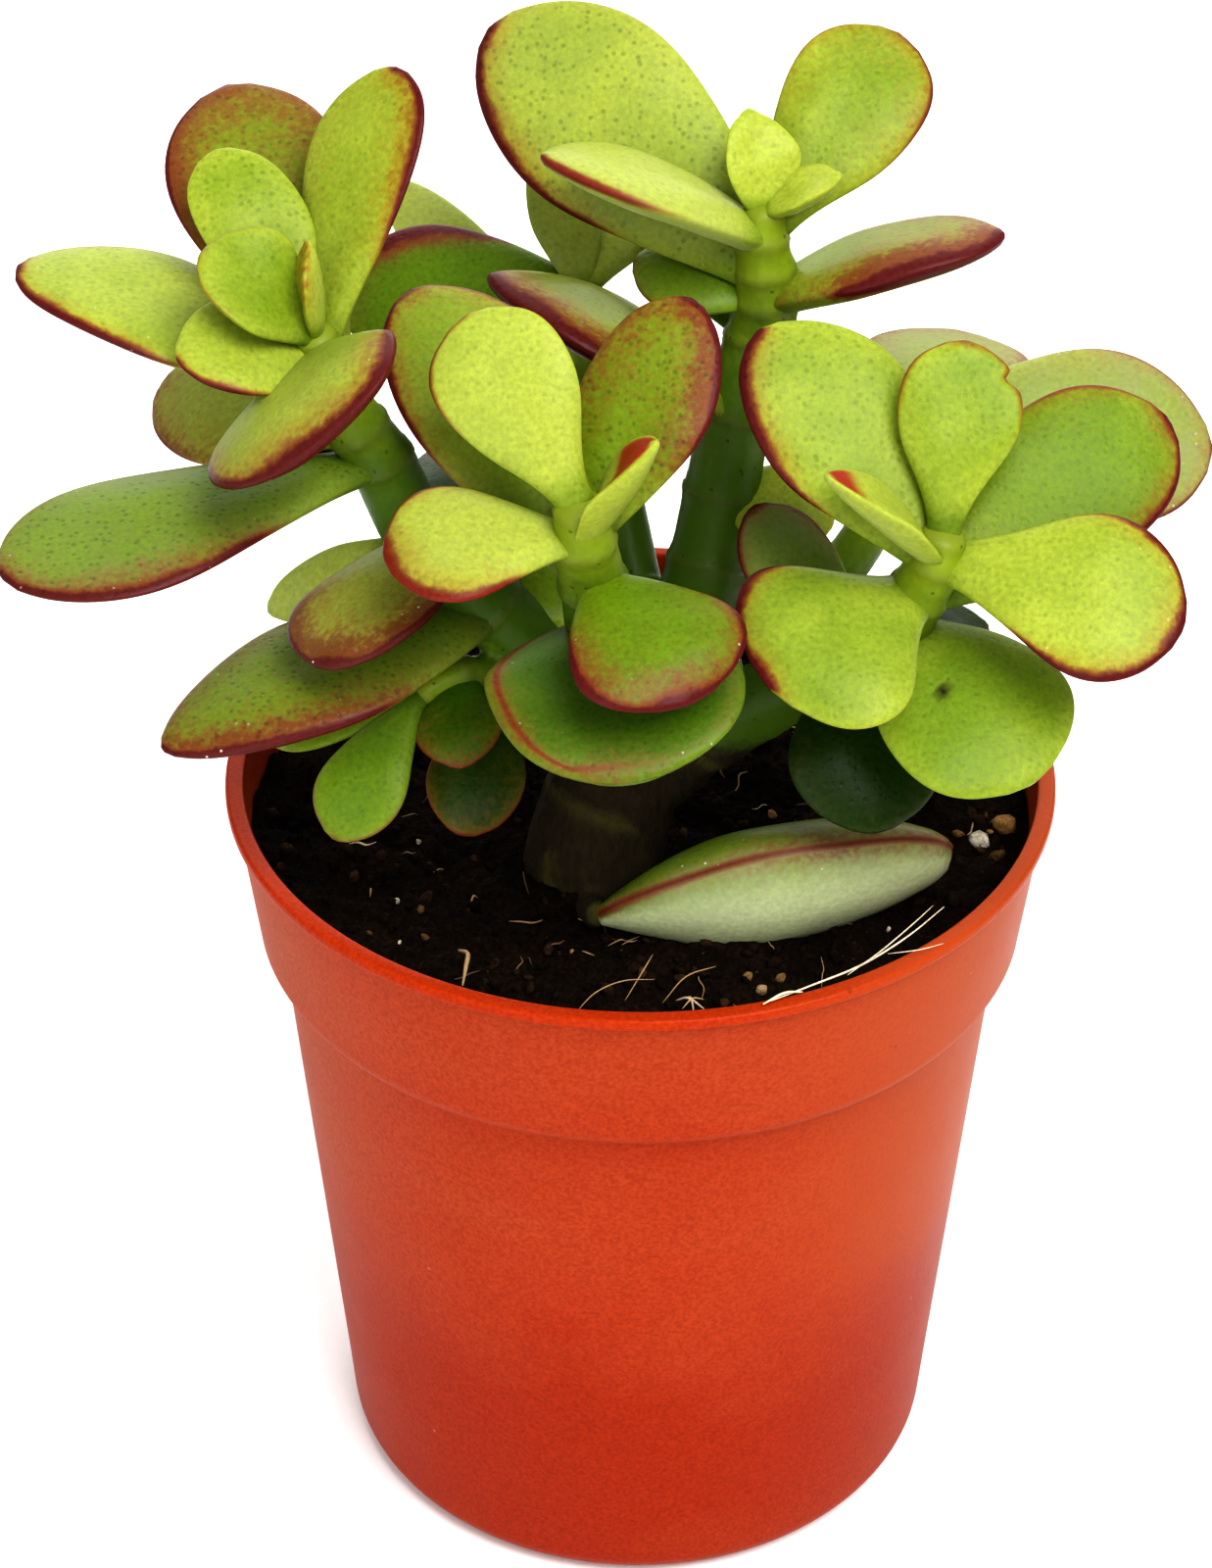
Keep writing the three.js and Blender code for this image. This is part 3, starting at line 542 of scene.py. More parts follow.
class Sheet:
    """Adds nodes to a shader tree. Their inputs take wires and plain values alike."""

    def __init__(self, tree):
        self.tree = tree

    def node(self, kind, inputs=None, **settings):
        """Adds a node and returns its outputs. The nodes are laid out in a long zigzag."""
        node = self.tree.nodes.new(kind)
        made = len(self.tree.nodes)
        node.location = (180 * made, -40 * (made % 5))
        for key, value in settings.items():
            setattr(node, key, value)
        for key, value in (inputs or {}).items():
            plug(node.inputs[key], value)
        return Outputs(self, node)

    def math(self, operation, first, second=0.0, clamp=False):
        return self.node("ShaderNodeMath", {0: first, 1: second}, operation=operation, use_clamp=clamp)[0]

    def mix(self, share, first, second, blend="MIX"):
        """Blends two colours, with so much of the second."""
        factor, colour_a, colour_b, colour_result = 0, 6, 7, 2
        return self.node(
            "ShaderNodeMix", {factor: share, colour_a: first, colour_b: second},
            data_type="RGBA", blend_type=blend, clamp_factor=True)[colour_result]

    def ramp(self, value, colour, *steps):
        """Fades from a colour to the next ones, each as the value goes from its start to its end."""
        for start, end, after in steps:
            colour = self.mix(value.ease(start, end), colour, after)
        return colour

    def shaded(self, colour, shade, cool_shade=None):
        """A colour times a shade. Its green and blue may have a shade of their own."""
        shades = {"X": shade, "Y": cool_shade or shade, "Z": cool_shade or shade}
        return self.mix(1.0, colour, self.node("ShaderNodeCombineXYZ", shades)[0], "MULTIPLY")

    def noise(self, place, scale, detail=3.0, roughness=0.55):
        inputs = {"Vector": place, "Scale": scale, "Detail": detail, "Roughness": roughness}
        return self.node("ShaderNodeTexNoise", inputs)["Fac"]

    def place(self):
        """Where a point lies on the object, in metres."""
        return self.node("ShaderNodeTexCoord")["Object"]

    def stretched(self, place, scale):
        return self.node("ShaderNodeMapping", {"Vector": place, "Scale": scale})["Vector"]

    def split(self, vector):
        parts = self.node("ShaderNodeSeparateXYZ", {0: vector})
        return parts["X"], parts["Y"], parts["Z"]

    def layer(self, name, output="Vector"):
        """What a mesh layer holds at a point."""
        return self.node("ShaderNodeAttribute", attribute_name=name)[output]


def new_material(name):
    """A material and the sheet for its nodes."""
    material = bpy.data.materials.new(name)
    material.use_nodes = True
    return material, Sheet(material.node_tree)


# Levels of the shader that are the same all over a material.
LEVELS = {
    "gloss": "Specular IOR Level",
    "glow": "Subsurface Weight",
    "glow_colour": "Subsurface Radius",
    "glow_reach": "Subsurface Scale",
}


def finish_material(sheet, colour, roughness, height, depth, strength, **levels):
    """Joins a colour, a roughness and a height of up to depth metres to the material's shader."""
    shader = sheet.tree.nodes["Principled BSDF"]
    bump = sheet.node("ShaderNodeBump", {"Height": height, "Distance": depth, "Strength": strength})
    plug(shader.inputs["Base Color"], colour)
    plug(shader.inputs["Roughness"], roughness)
    plug(shader.inputs["Normal"], bump["Normal"])
    for key, value in levels.items():
        plug(shader.inputs[LEVELS[key]], value)


def socket_name(key):
    return key.replace("_", " ").capitalize()


def filled_group(name, fill, defaults):
    """A new shader node group with a place and some numbers as inputs, filled by a function."""
    group = bpy.data.node_groups.new(name, "ShaderNodeTree")
    group.interface.new_socket("Place", in_out="INPUT", socket_type="NodeSocketVector")
    for key, value in defaults.items():
        socket = group.interface.new_socket(
            socket_name(key), in_out="INPUT", socket_type="NodeSocketFloat")
        socket.default_value = value
    sheet = Sheet(group)
    given = sheet.node("NodeGroupInput")
    outputs = fill(sheet, given["Place"], **{key: given[socket_name(key)] for key in defaults})
    for key, wire in outputs.items():
        kind = "NodeSocketColor" if wire.socket.type == "RGBA" else "NodeSocketFloat"
        group.interface.new_socket(key, in_out="OUTPUT", socket_type=kind)
    sheet.node("NodeGroupOutput", outputs)
    return group


def node_group(name, **defaults):
    """Makes a shader node group of a function that works on wires.

    The function takes a sheet, a place and a wire for each default, and returns the group's
    outputs by name. Called with a material's sheet, a place and that material's own values,
    it places the group there. The group itself is filled only once.
    """
    def decorate(fill):
        @functools.wraps(fill)
        def placed(sheet, place, **values):
            group = bpy.data.node_groups.get(name) or filled_group(name, fill, defaults)
            inputs = {socket_name(key): value for key, value in values.items()}
            return sheet.node("ShaderNodeGroup", {"Place": place, **inputs}, node_tree=group)
        return placed
    return decorate


@node_group("Speckle", scale=900.0, size=0.16, share=0.5)
def speckles(sheet, place, scale, size, share):
    """Small round dots at random places, of which a share is kept."""
    inputs = {"Vector": place, "Scale": scale, "Randomness": 0.9}
    cells = sheet.node("ShaderNodeTexVoronoi", inputs, feature="F1")
    dot = (cells["Distance"] / size).ease(1.0, 0.3)
    pick, _, _ = sheet.split(cells["Color"])
    return {"Mask": dot * sheet.math("LESS_THAN", pick, share)}


@node_group("Mottle", scale=120.0, fine=0.35)
def mottling(sheet, place, scale, fine):
    """Soft patches from about -1 to 1, at two sizes."""
    spread = 3.2
    broad = (sheet.noise(place, scale, detail=2.0) - 0.5) * spread
    small = (sheet.noise(place, scale * 7.0, detail=4.0) - 0.5) * spread
    return {"Value": broad + small * fine}


# ---- Leaf material ---------------------------------------------------------

# What each mesh layer of a leaf holds, under the names of the leaf group's inputs.
LEAF_LAYERS = {
    "leaf_place": ("along", "upper", "edge"),
    "leaf_look": ("tone", "rim", "blush"),
    "leaf_more": ("pale", "scar", "red_tip"),
    "leaf_dots": ("pores", "salt", "inset"),
}
MOST_FLUSH = 0.52


def blade_green(sheet, place, mottle, along, upper, edge, tone, pale):
    """Green from the leaf's age, lighter near the neck and the edge, and paler underneath."""
    look = bpy.context.scene.jade_leaves
    patches = sheet.noise(place, scale=75.0, detail=2.0).ease(0.25, 0.75, low=-0.06, high=0.06)
    mottled = tone + (mottle * 0.036 + patches)
    lightened = sheet.math("MAXIMUM", along.ease(0.42, 0.08), edge.ease(3.2, 0.3))
    lighter = lightened * (tone * tone.ease(1.05, 0.7, high=0.3))
    # Past a tone of 1 the green turns to painted shade, the dark colour that stands in for the shade deep
    # inside the plant.
    green = sheet.ramp(
        mottled - lighter, look.young, (0.0, 0.5, look.grown), (0.4, 1.0, look.old),
        (0.95, 1.35, look.dark))
    # The neck takes the colour of the shoot that it grows from.
    neck = sheet.ramp(tone, look.joint, (0.1, 0.4, look.old_joint))
    green = sheet.mix(along.ease(0.2, 0.04, high=0.85), green, neck)
    # Below, pale leaves take the underside colour: their own paler underside, lightened as painted light.
    return sheet.mix(upper.ease(0.45, 0.05) * (pale * 0.9 + 0.05), green, look.under)


def leaf_redness(sheet, place, mottle, along, upper, edge, rim, blush, inset):
    """Redness gathers at the margin and thins out over the blade in broken patches."""
    width = rim * (mottle * 0.4 + 1.0)
    reach = abs(edge - inset) / (width + 0.05)
    rimmed = rim.ease(0.0, 0.75)
    margin = reach.ease(1.9, -0.1) * rimmed
    halo = reach.ease(4.0, 0.8, high=0.22) * rimmed
    broken = sheet.noise(place, scale=1300.0, detail=4.0).ease(0.3, 0.7, low=0.65, high=1.35)
    patches = (mottle * 0.2 + 0.85) * broken
    patches = patches * upper.ease(0.1, 0.5, low=0.35) * along.ease(0.15, 0.6, low=0.35)
    flush = blush * edge.ease(6.5, 0.2, low=0.42, high=0.9) * patches
    flush = sheet.math("MINIMUM", flush, MOST_FLUSH)
    return sheet.math("ADD", sheet.math("MAXIMUM", margin, flush), halo, clamp=True)


def redden(sheet, green, redness, tone):
    """Green that turns golden or olive, then brown red, and dark red where redness is full."""
    look = bpy.context.scene.jade_leaves
    warm = sheet.ramp(tone, look.golden, (0.15, 0.6, look.olive))
    margin = sheet.ramp(tone, look.young_margin, (0.0, 0.15, look.margin))
    colour = sheet.mix(redness.ease(0.04, 0.5, high=0.8), green, warm)
    return sheet.ramp(redness, colour, (0.3, 0.8, look.blush), (0.74, 1.0, margin))


@node_group(
    "Jade leaf skin", along=0.5, upper=1.0, edge=5.0, tone=0.5, rim=0.5, blush=0.2, pale=0.0,
    scar=0.0, red_tip=0.0, pores=0.4, salt=0.0, inset=0.0)
def leaf_surface(sheet, place, along, upper, edge, tone, rim, blush, pale, scar, red_tip, pores,
                 salt, inset):
    """Colour, roughness and height of a jade leaf from where a point lies on it."""
    look = bpy.context.scene.jade_leaves
    mottle = mottling(sheet, place, scale=150.0, fine=0.65)["Value"]
    grain = sheet.noise(place, scale=1900.0, detail=4.0)
    green = blade_green(sheet, place, mottle, along, upper, edge, tone, pale)
    redness = leaf_redness(sheet, place, mottle, along, upper, edge, rim, blush, inset)
    colour = redden(sheet, green, redness, tone)
    # Dots of the pores on the upper face, and a few white specks of salt.
    dots = speckles(sheet, place, scale=1150.0, size=0.42, share=0.8)["Mask"] * upper.ease(0.45, 0.8)
    colour = sheet.mix(dots * pores, colour, sheet.mix(1.0, colour, look.pore, "MULTIPLY"))
    colour = sheet.shaded(colour, grain.ease(0.2, 0.8, low=0.85, high=1.15))
    salted = speckles(sheet, place, scale=760.0, size=0.15, share=0.4)["Mask"]
    salted = salted * (edge.ease(4.5, 0.8, low=0.1) * salt)
    colour = sheet.mix(salted, colour, look.salt)
    # Pale leaves get a whitish waxy coat, thinner over red parts and at the neck. It is partly painted
    # light: a whitish sheen and lightening on leaves that are too dark under the lamps.
    bloom_and_sheen = pale * mottle.ease(-1.2, 1.4, low=0.15, high=0.55)
    bloom_and_sheen = bloom_and_sheen * redness.ease(0.3, 0.9, low=1.0, high=0.1) * along.ease(0.05, 0.25, low=0.2)
    colour = sheet.mix(bloom_and_sheen, colour, look.bloom_and_sheen)
    colour = sheet.mix(scar, colour, look.scar)
    colour = sheet.mix(red_tip, colour, look.red_tip)
    pebble = sheet.noise(place, scale=900.0)
    return {
        "Color": colour,
        "Roughness": grain.ease(0.2, 0.8, low=0.3, high=0.42) + bloom_and_sheen * 0.3,
        "Height": pebble * 0.8 - dots * 0.35 + salted * 0.8 - scar * 0.8,
    }


def leaf_material(name, glow, gloss):
    """Waxy leaf skin. Glow is how much light passes through, gloss the specular level."""
    material, sheet = new_material(name)
    looks = {}
    for layer, names in LEAF_LAYERS.items():
        looks.update(zip(names, sheet.split(sheet.layer(layer))))
    skin = leaf_surface(sheet, sheet.place(), **looks)
    finish_material(
        sheet, skin["Color"], skin["Roughness"], skin["Height"], depth=0.00012, strength=0.55,
        gloss=gloss, glow=glow, glow_colour=(0.9, 1.0, 0.25), glow_reach=0.0016)
    return material


# ---- Leaf shapes -----------------------------------------------------------

# How a leaf's rings crowd toward both ends, and the share of the length where the last one lies.
RING_CROWDING = 0.45
LAST_RING = 0.9992
# Waves of the outline and of the faces along a leaf, and how far they twist across it.
EDGE_WAVES = (1.3, 0.6)
FACE_WAVES = (1.7, 2.2)
FACE_WAVE_HEIGHT = 0.096  # mm
# The sideways sway of the midline, as a share of the waviness.
SWAY = 0.6
# The channel along the middle of the upper face: its depth as a share of the thickness, and
# its reach as a share of the half width. The lower face has less of it and of the waves.
CHANNEL = (0.05, 0.28)
LOWER_RELIEF = 0.4
# The small point at the tip: its length in mm, and its reach as a share of the length.
TIP_POINT = (0.35, 0.02)
MARGIN_SHARPNESS = 1.18  # 1 is an ellipse, more gives the leaf a keener edge


def outline_at(share, form):
    """Half the width at a share of the length, as a share of the widest half."""
    shape = FORMS[form]
    widest = shape["widest"]
    rising = np.sin((np.pi / 2) * np.clip(share / widest, 0, 1)) ** shape["taper"]
    falling = np.clip((share - widest) / (1 - widest), 0, 1)
    closing = (1 - falling ** shape["tip"]) ** (1 / shape["tip"])
    return np.where(share < widest, shape["neck"] + (1 - shape["neck"]) * rising, closing)


def thickness_at(share, form):
    """The thickness at a share of the length, as a share of the full thickness."""
    least = np.where(share < LEAF_BODY["swell_end"] / 2, FORMS[form]["stalk"], LEAF_BODY["outer"])
    swell = np.sin(np.pi * np.clip(share / LEAF_BODY["swell_end"], 0, 1))
    to_tip = np.clip((share - LEAF_BODY["tip_from"]) / (1 - LEAF_BODY["tip_from"]), 0, 1)
    power = LEAF_BODY["tip_round"]
    return (least + (1 - least) * swell) * (1 - to_tip ** power) ** (1 / power)


def leaf_axes(leaf):
    """Directions along the leaf, out of its upper face and to its side."""
    turn = math.radians(leaf.azimuth)
    rise = math.radians(leaf.elevation)
    along = np.array([math.cos(rise) * math.cos(turn), math.cos(rise) * math.sin(turn), math.sin(rise)])
    level = unit(np.array([0, 0, 1.0]) - along * along[2])
    lean = math.radians(leaf.roll)
    face = level * math.cos(lean) + np.cross(along, level) * math.sin(lean)
    return along, face, np.cross(face, along)


def half_width(leaf, s, across, waviness, phase):
    """Half the width in mm, with its waves and torn edges, at shares s of the length."""
    waves, twist = EDGE_WAVES
    wave = 1 + waviness * np.sin(2 * np.pi * waves * s + phase + twist * across) * ease(s, 0.15, 0.5)
    half = outline_at(s, leaf.form) * leaf.width / 2 * wave
    if leaf.name in TORN_EDGES:
        at, torn_side, depth, reach = TORN_EDGES[leaf.name]
        half = half * (1 - depth * hump(s - at, reach) * ease(across * torn_side, 0.2, 0.9))
    return half


def leaf_skin(leaf, settings, dice):
    """Points, faces and mesh layers of one leaf."""
    along, face, side = leaf_axes(leaf)
    base = np.array(STEMS[leaf.stem][leaf.point][:3], float)
    steps = np.linspace(0, 1, settings.stations)
    crowded = RING_CROWDING * (1 - np.cos(np.pi * steps)) / 2
    share = ((1 - RING_CROWDING) * steps + crowded) * LAST_RING
    edge_phase, face_phase = dice.uniform(0, 2 * np.pi, 2)
    sway = dice.uniform(-1, 1) * settings.waviness * SWAY
    s, a = np.meshgrid(share, circle(settings.sides), indexing="ij")
    across = np.cos(a)
    on_top = np.sin(a) > 0
    half = half_width(leaf, s, across, settings.waviness, edge_phase)
    # Height over the leaf's own middle surface.
    deep = thickness_at(s, leaf.form) * (LEAST_THICKNESS + FORMS[leaf.form]["plump"] * leaf.width)
    lift = np.abs(np.sin(a)) ** MARGIN_SHARPNESS * np.sign(np.sin(a))
    bulge = np.where(on_top, UPPER_SHARE, 1 - UPPER_SHARE) * deep * lift
    fold = 2 * leaf.cup / leaf.width * (half * across) ** 2
    depth, reach = CHANNEL
    channel = -depth * deep * hump(across, reach) * ease(s, 0.05, 0.3) * ease(s, 0.9, 0.5)
    waves, twist = FACE_WAVES
    swell = FACE_WAVE_HEIGHT * np.sin(2 * np.pi * waves * s + face_phase + across * twist)
    swell = swell * ease(s, 0.2, 0.5)
    rise = bulge + fold + (channel + swell) * np.where(on_top, 1, LOWER_RELIEF)
    # The arched midline that this height stands on.
    slope = 4 * leaf.arch * (1 - 2 * s)
    up = unit(face - along * slope[..., None])
    spine = (base + along * (s * leaf.length)[..., None]
             + face * (4 * leaf.arch * leaf.length * s * (1 - s))[..., None]
             + side * (sway * leaf.length * np.sin(np.pi * s))[..., None])
    points = spine + side * (half * across)[..., None] + up * rise[..., None]
    tip, tip_reach = TIP_POINT
    points = points + along * (tip * hump(1 - s, tip_reach))[..., None]
    skin_points, faces = closed_skin(
        points, base - along * LEAF_HEEL, base + along * (leaf.length + tip))
    return skin_points, faces, leaf_layers(leaf, s, a, half, bulge)


def leaf_layers(leaf, s, a, half, bulge):
    """What the leaf's material reads at each point of the skin."""
    across = np.cos(a)
    on_top = np.sin(a) > 0
    upper = 0.5 + 0.5 * np.sin(a)
    from_side = np.hypot(half * (1 - np.abs(across)), bulge)
    from_tip = (1 - s) * leaf.length * 0.9 + np.abs(bulge) * 0.5
    toward_tip = 1
    if leaf.name not in EVEN_RIMS:
        toward_tip = (0.25 + 0.95 * ease(s, 0.25, 0.85)) * ease(s, 0.16, 0.42)
    looks = {
        "along": s,
        "upper": upper,
        "edge": np.minimum(from_side, from_tip),
        "tone": leaf.tone,
        "rim": np.clip(leaf.rim * (1 + leaf.lean * across), 0, None) * toward_tip,
        "blush": np.clip(leaf.blush * (1 + 0.35 * leaf.lean * across), 0, None),
        "pale": leaf.pale,
        "scar": 0,
        "red_tip": 0,
        "pores": PORES.get(leaf.name, FAINT_PORES),
        "salt": SALT.get(leaf.name, 0),
        "inset": INSET_RIMS.get(leaf.name, 0),
    }
    # The fallen leaf's paleness, with its painted light, lies mostly on its underside.
    if leaf.form == "boat":
        looks["pale"] = leaf.pale * (ease(upper, 0.75, 0.5) * 0.85 + 0.15)
    if leaf.name in SCARS:
        at, place, radius = SCARS[leaf.name]
        away = np.hypot((s - at) * leaf.length, (across - place) * half)
        looks["scar"] = ease(away, radius, radius * 0.35) * on_top
    if leaf.name in RED_TIPS:
        start = RED_TIPS[leaf.name]
        reddened = ease(s, start, start + 0.14) * ease(s, 1.0, 0.96)
        looks["red_tip"] = reddened * ease(np.abs(across), 0.95, 0.7) * on_top

    def with_poles(values):
        values = np.broadcast_to(values, s.shape)
        return np.append(values.ravel(), [values[0].mean(), values[-1].mean()])

    return {layer: np.column_stack([with_poles(looks[name]) for name in names])
            for layer, names in LEAF_LAYERS.items()}


# ---- Stems -----------------------------------------------------------------

SPAN_STEPS = 10
STEM_SIDES = 28
END_DOME = 0.4          # height of a tube's domed ends, as a share of its radius
KNUCKLE_REACH = 0.75    # how far the knuckle under a pair of leaves spreads, in mm
BARK_FADE = 0.009       # how far below its top the bark is complete, in metres
GREEN_RELIEF = 0.00006  # relief of the green skin in metres, and how much more the bark has
BARK_RELIEF = 0.0003
BARK_GRAIN = 420        # how often the relief repeats in a metre round the stem


def centre_line(points, per_span):
    """Centripetal spline through a stem's points: places, directions and radii."""
    knots = np.array([p[:3] for p in points], float)
    radii = np.array([p[3] for p in points], float)
    padded = np.vstack([2 * knots[0] - knots[1], knots, 2 * knots[-1] - knots[-2]])
    places = []
    for i in range(len(knots) - 1):
        p0, p1, p2, p3 = padded[i:i + 4]
        d0, d1, d2 = (np.linalg.norm(b - a) ** 0.5 for a, b in ((p0, p1), (p1, p2), (p2, p3)))
        m1 = ((p1 - p0) / d0 - (p2 - p0) / (d0 + d1) + (p2 - p1) / d1) * d1
        m2 = ((p2 - p1) / d1 - (p3 - p1) / (d1 + d2) + (p3 - p2) / d2) * d1
        last = i == len(knots) - 2
        for t in np.linspace(0, 1, per_span + last, endpoint=last):
            places.append(p1 + m1 * t + (-3 * p1 + 3 * p2 - 2 * m1 - m2) * t ** 2
                          + (2 * p1 - 2 * p2 + m1 + m2) * t ** 3)
    places = np.array(places)
    radii = np.interp(np.linspace(0, len(knots) - 1, len(places)), np.arange(len(knots)), radii)
    return places, unit(np.gradient(places, axis=0)), radii


def tube(places, directions, radii, sides):
    """A round tube with domed ends."""
    turn = circle(sides)[:, None]
    side = np.array([1.0, 0.2, 0.1])
    rings = []
    for place, along, radius in zip(places, directions, radii):
        side = unit(side - along * side.dot(along))
        up = np.cross(along, side)
        rings.append(place + radius * (np.cos(turn) * side + np.sin(turn) * up))
    start = places[0] - directions[0] * radii[0] * END_DOME
    end = places[-1] + directions[-1] * radii[-1] * END_DOME
    return closed_skin(np.array(rings), start, end)


def stem_tubes():
    """The tubes of all stems, and samples along them: place, knuckle and share of the length."""
    skins = []
    samples = []
    for name, points in STEMS.items():
        places, directions, radii = centre_line(points, SPAN_STEPS)
        skins.append(tube(places, directions, radii, STEM_SIDES))
        seats = {leaf.point for leaf in LEAVES if leaf.stem == name} | set(range(1, len(points), 2))
        marks = np.array([points[i][:3] for i in sorted(seats)], float)
        near = np.linalg.norm(places[:, None] - marks[None], axis=2).min(axis=1)
        samples.extend(zip(places, hump(near, KNUCKLE_REACH), np.linspace(0, 1, len(places))))
    return skins, samples


def raise_bark(mesh, samples, settings):
    """Moves a stem's skin out at its knuckles and gives it bark, or fine grain where it is green."""
    tree = kdtree.KDTree(len(samples))
    for i, (place, _, _) in enumerate(samples):
        tree.insert(Vector(place * MM), i)
    tree.balance()
    places = read_vectors(mesh.vertices, "co")
    ring, fresh, rough = np.zeros((3, len(places)))
    for i, place in enumerate(places):
        _, ring[i], fresh[i] = samples[tree.find(Vector(place))[1]]
        upright = Vector((place[0], place[1], place[2] * 0.5))
        rough[i] = noise.fractal(upright * BARK_GRAIN, 0.8, 2.2, 4)
    wood = ease(places[:, 2], settings.bark_top, settings.bark_top - BARK_FADE)
    push = ring * settings.knuckle * (1 - 0.5 * wood) + rough * (GREEN_RELIEF + BARK_RELIEF * wood)
    places += read_vectors(mesh.vertex_normals, "vector") * push[:, None]
    mesh.vertices.foreach_set("co", places.astype(np.float32).ravel())
    add_layer(mesh, "stem_look", np.column_stack([wood, ring, fresh]))


def stem_material(look):
    """Green skin with leaf scars on the shoots, turning to fissured bark on the trunk."""
    material, sheet = new_material("Jade stem skin")
    place = sheet.place()
    wood, ring, fresh = sheet.split(sheet.layer("stem_look"))
    mottle = mottling(sheet, place, scale=170.0, fine=0.6)["Value"]
    flecks = speckles(sheet, place, scale=700.0, size=0.2, share=0.3)["Mask"]
    upright = sheet.stretched(place, (1, 1, 0.35))
    fissure = sheet.noise(upright, scale=1300.0, detail=5.0, roughness=0.65)
    woodiness = sheet.math("ADD", wood, mottle * 0.22, clamp=True)
    # The older skin lower on the shoots is darkened as painted shade, and turns to the lighter fresh skin
    # toward the tips.
    green = sheet.ramp(fresh + mottle * 0.12, look.skin, (0.4, 1.0, look.fresh))
    # Lighter ridges over darker bark: partly the bark's own grain, partly a painted highlight on the
    # ridges, and the whole bark darkened as painted shade.
    bark = sheet.ramp(fissure, look.bark, (0.35, 0.7, look.ridge))
    colour = sheet.ramp(woodiness, green, (0.3, 0.75, bark))
    colour = sheet.mix(ring * 0.35, colour, look.scar)
    colour = sheet.mix(flecks * 0.5, colour, look.fleck)
    height = fissure * woodiness.ease(0.1, 0.8, low=0.25, high=1.6) - flecks * 0.3
    finish_material(
        sheet, colour, woodiness.ease(0.2, 0.8, low=0.42, high=0.85), height, depth=0.0003,
        strength=0.6, gloss=0.2, glow=0.05, glow_colour=(0.8, 1.0, 0.3), glow_reach=0.001)
    return material


# ---- Pot -------------------------------------------------------------------

# Lengths of the pot's small curves are in mm, as everywhere in the profile.
# How the step's curve leaves the wall and reaches the collar, outward and up.
STEP_FROM_WALL = ((0.06, 0.05), (0.45, 0.32), (1.0, 0.75))
STEP_TO_COLLAR = ((-0.75, -1.35), (-0.3, -0.75), (-0.06, -0.25))
WALL_RINGS = 14
# Radii of the lip's lower, outer and inner edge, and how far its inner face reaches down.
LIP_EDGES = (0.28, 0.5, 0.47)
LIP_INNER_DEPTH = 1.2
FLAT_RING = 12.0        # radius of the ring that keeps the faces of the flat bottom short
DRILL_SIDES = 32
SHARP_EDGE = math.radians(42)


def arc(centre_r, centre_z, radius, start, end, steps):
    """Points of an arc of the profile, between two angles in degrees."""
    turn = np.radians(np.linspace(start, end, steps + 1))
    return [(centre_r + radius * math.cos(t), centre_z + radius * math.sin(t)) for t in turn]


def wall_line(pot, inset, foot, steps):
    """The wall's line from the base up to the collar's foot, an inset inside the outer face."""
    rounding = pot.base_round - inset / 2
    base = pot.base_radius - inset
    below = pot.shoulder_radius - inset
    above = pot.collar_foot_radius - inset
    # The arc stops just short of upright, where the straight wall goes on from it.
    start = (base - rounding * 0.004, foot + rounding * 1.02)
    wall = np.linspace(start, (below, pot.shoulder - 0.4), WALL_RINGS)[1:]
    return [*arc(base - rounding, foot + rounding, rounding, -90, -3, steps),
            *map(tuple, wall),
            *((below + out, pot.shoulder + up) for out, up in STEP_FROM_WALL),
            *((above + out, pot.collar_foot + up) for out, up in STEP_TO_COLLAR)]


def pot_profile(pot):
    """Radius and height of the pot's section, up the outside, over the lip and down the inside."""
    rim = pot.rim_radius
    height = pot.height
    lip_foot = height - pot.lip_height
    inner = rim - pot.lip_width
    inner_foot = (inner, lip_foot - LIP_INNER_DEPTH)
    collar_foot = pot.collar_foot + 0.35
    outer_collar = np.linspace(
        (pot.collar_foot_radius, collar_foot), (pot.collar_top, lip_foot - 0.12), 7)
    inner_collar = np.linspace((pot.collar_foot_radius - pot.wall, collar_foot), inner_foot, 6)
    # The lip springs from the collar, rounds its lower and outer edge, lies flat, and rounds
    # its inner edge.
    lower, outer, upper = LIP_EDGES
    lip = [(rim - 0.35, lip_foot - 0.02),
           *arc(rim - lower, lip_foot + 0.27, lower, -70, 10, 4),
           *arc(rim - outer, height - outer, outer, 15, 90, 5),
           (rim - 1.0, height - 0.02),
           *arc(inner + 0.45, height - upper, upper, 90, 180, 5),
           inner_foot]
    outward = [(0.0, 0.0), (FLAT_RING, 0.0), *wall_line(pot, 0, 0, 9), *map(tuple, outer_collar)]
    inward = [(0.0, pot.floor), (FLAT_RING, pot.floor), *wall_line(pot, pot.wall, pot.floor, 5),
              *map(tuple, inner_collar[:-1])]
    return outward + lip + inward[::-1]


def ring_of(radius, turn, height):
    """Points round Z at some angles. Their radius and height may be one number or many."""
    heights = np.broadcast_to(height, turn.shape)
    return np.column_stack([radius * np.cos(turn), radius * np.sin(turn), heights])


def lathe(profile, segments):
    """Turns a profile of radius and height about Z. Its first and last points lie on the axis."""
    turn = circle(segments)
    rings = np.array([ring_of(radius, turn, height) for radius, height in profile[1:-1]])
    return closed_skin(rings, np.array([0, 0, profile[0][1]]), np.array([0, 0, profile[-1][1]]))


def drain_holes(settings):
    """The skins of the drills for the holes in the pot's floor, as one."""
    mm = in_mm(settings)
    reach = 4 * mm.floor
    drill = [(0, -reach), (mm.drain_radius, -reach), (mm.drain_radius, reach), (0, reach)]
    points, faces = lathe(drill, DRILL_SIDES)
    drills = []
    for i in range(settings.drain_count):
        turn = 2 * math.pi * (i + 0.5) / settings.drain_count
        at = np.array([math.cos(turn), math.sin(turn), 0]) * settings.drain_ring / MM
        drills.append((points + at, faces))
    return joined(drills)


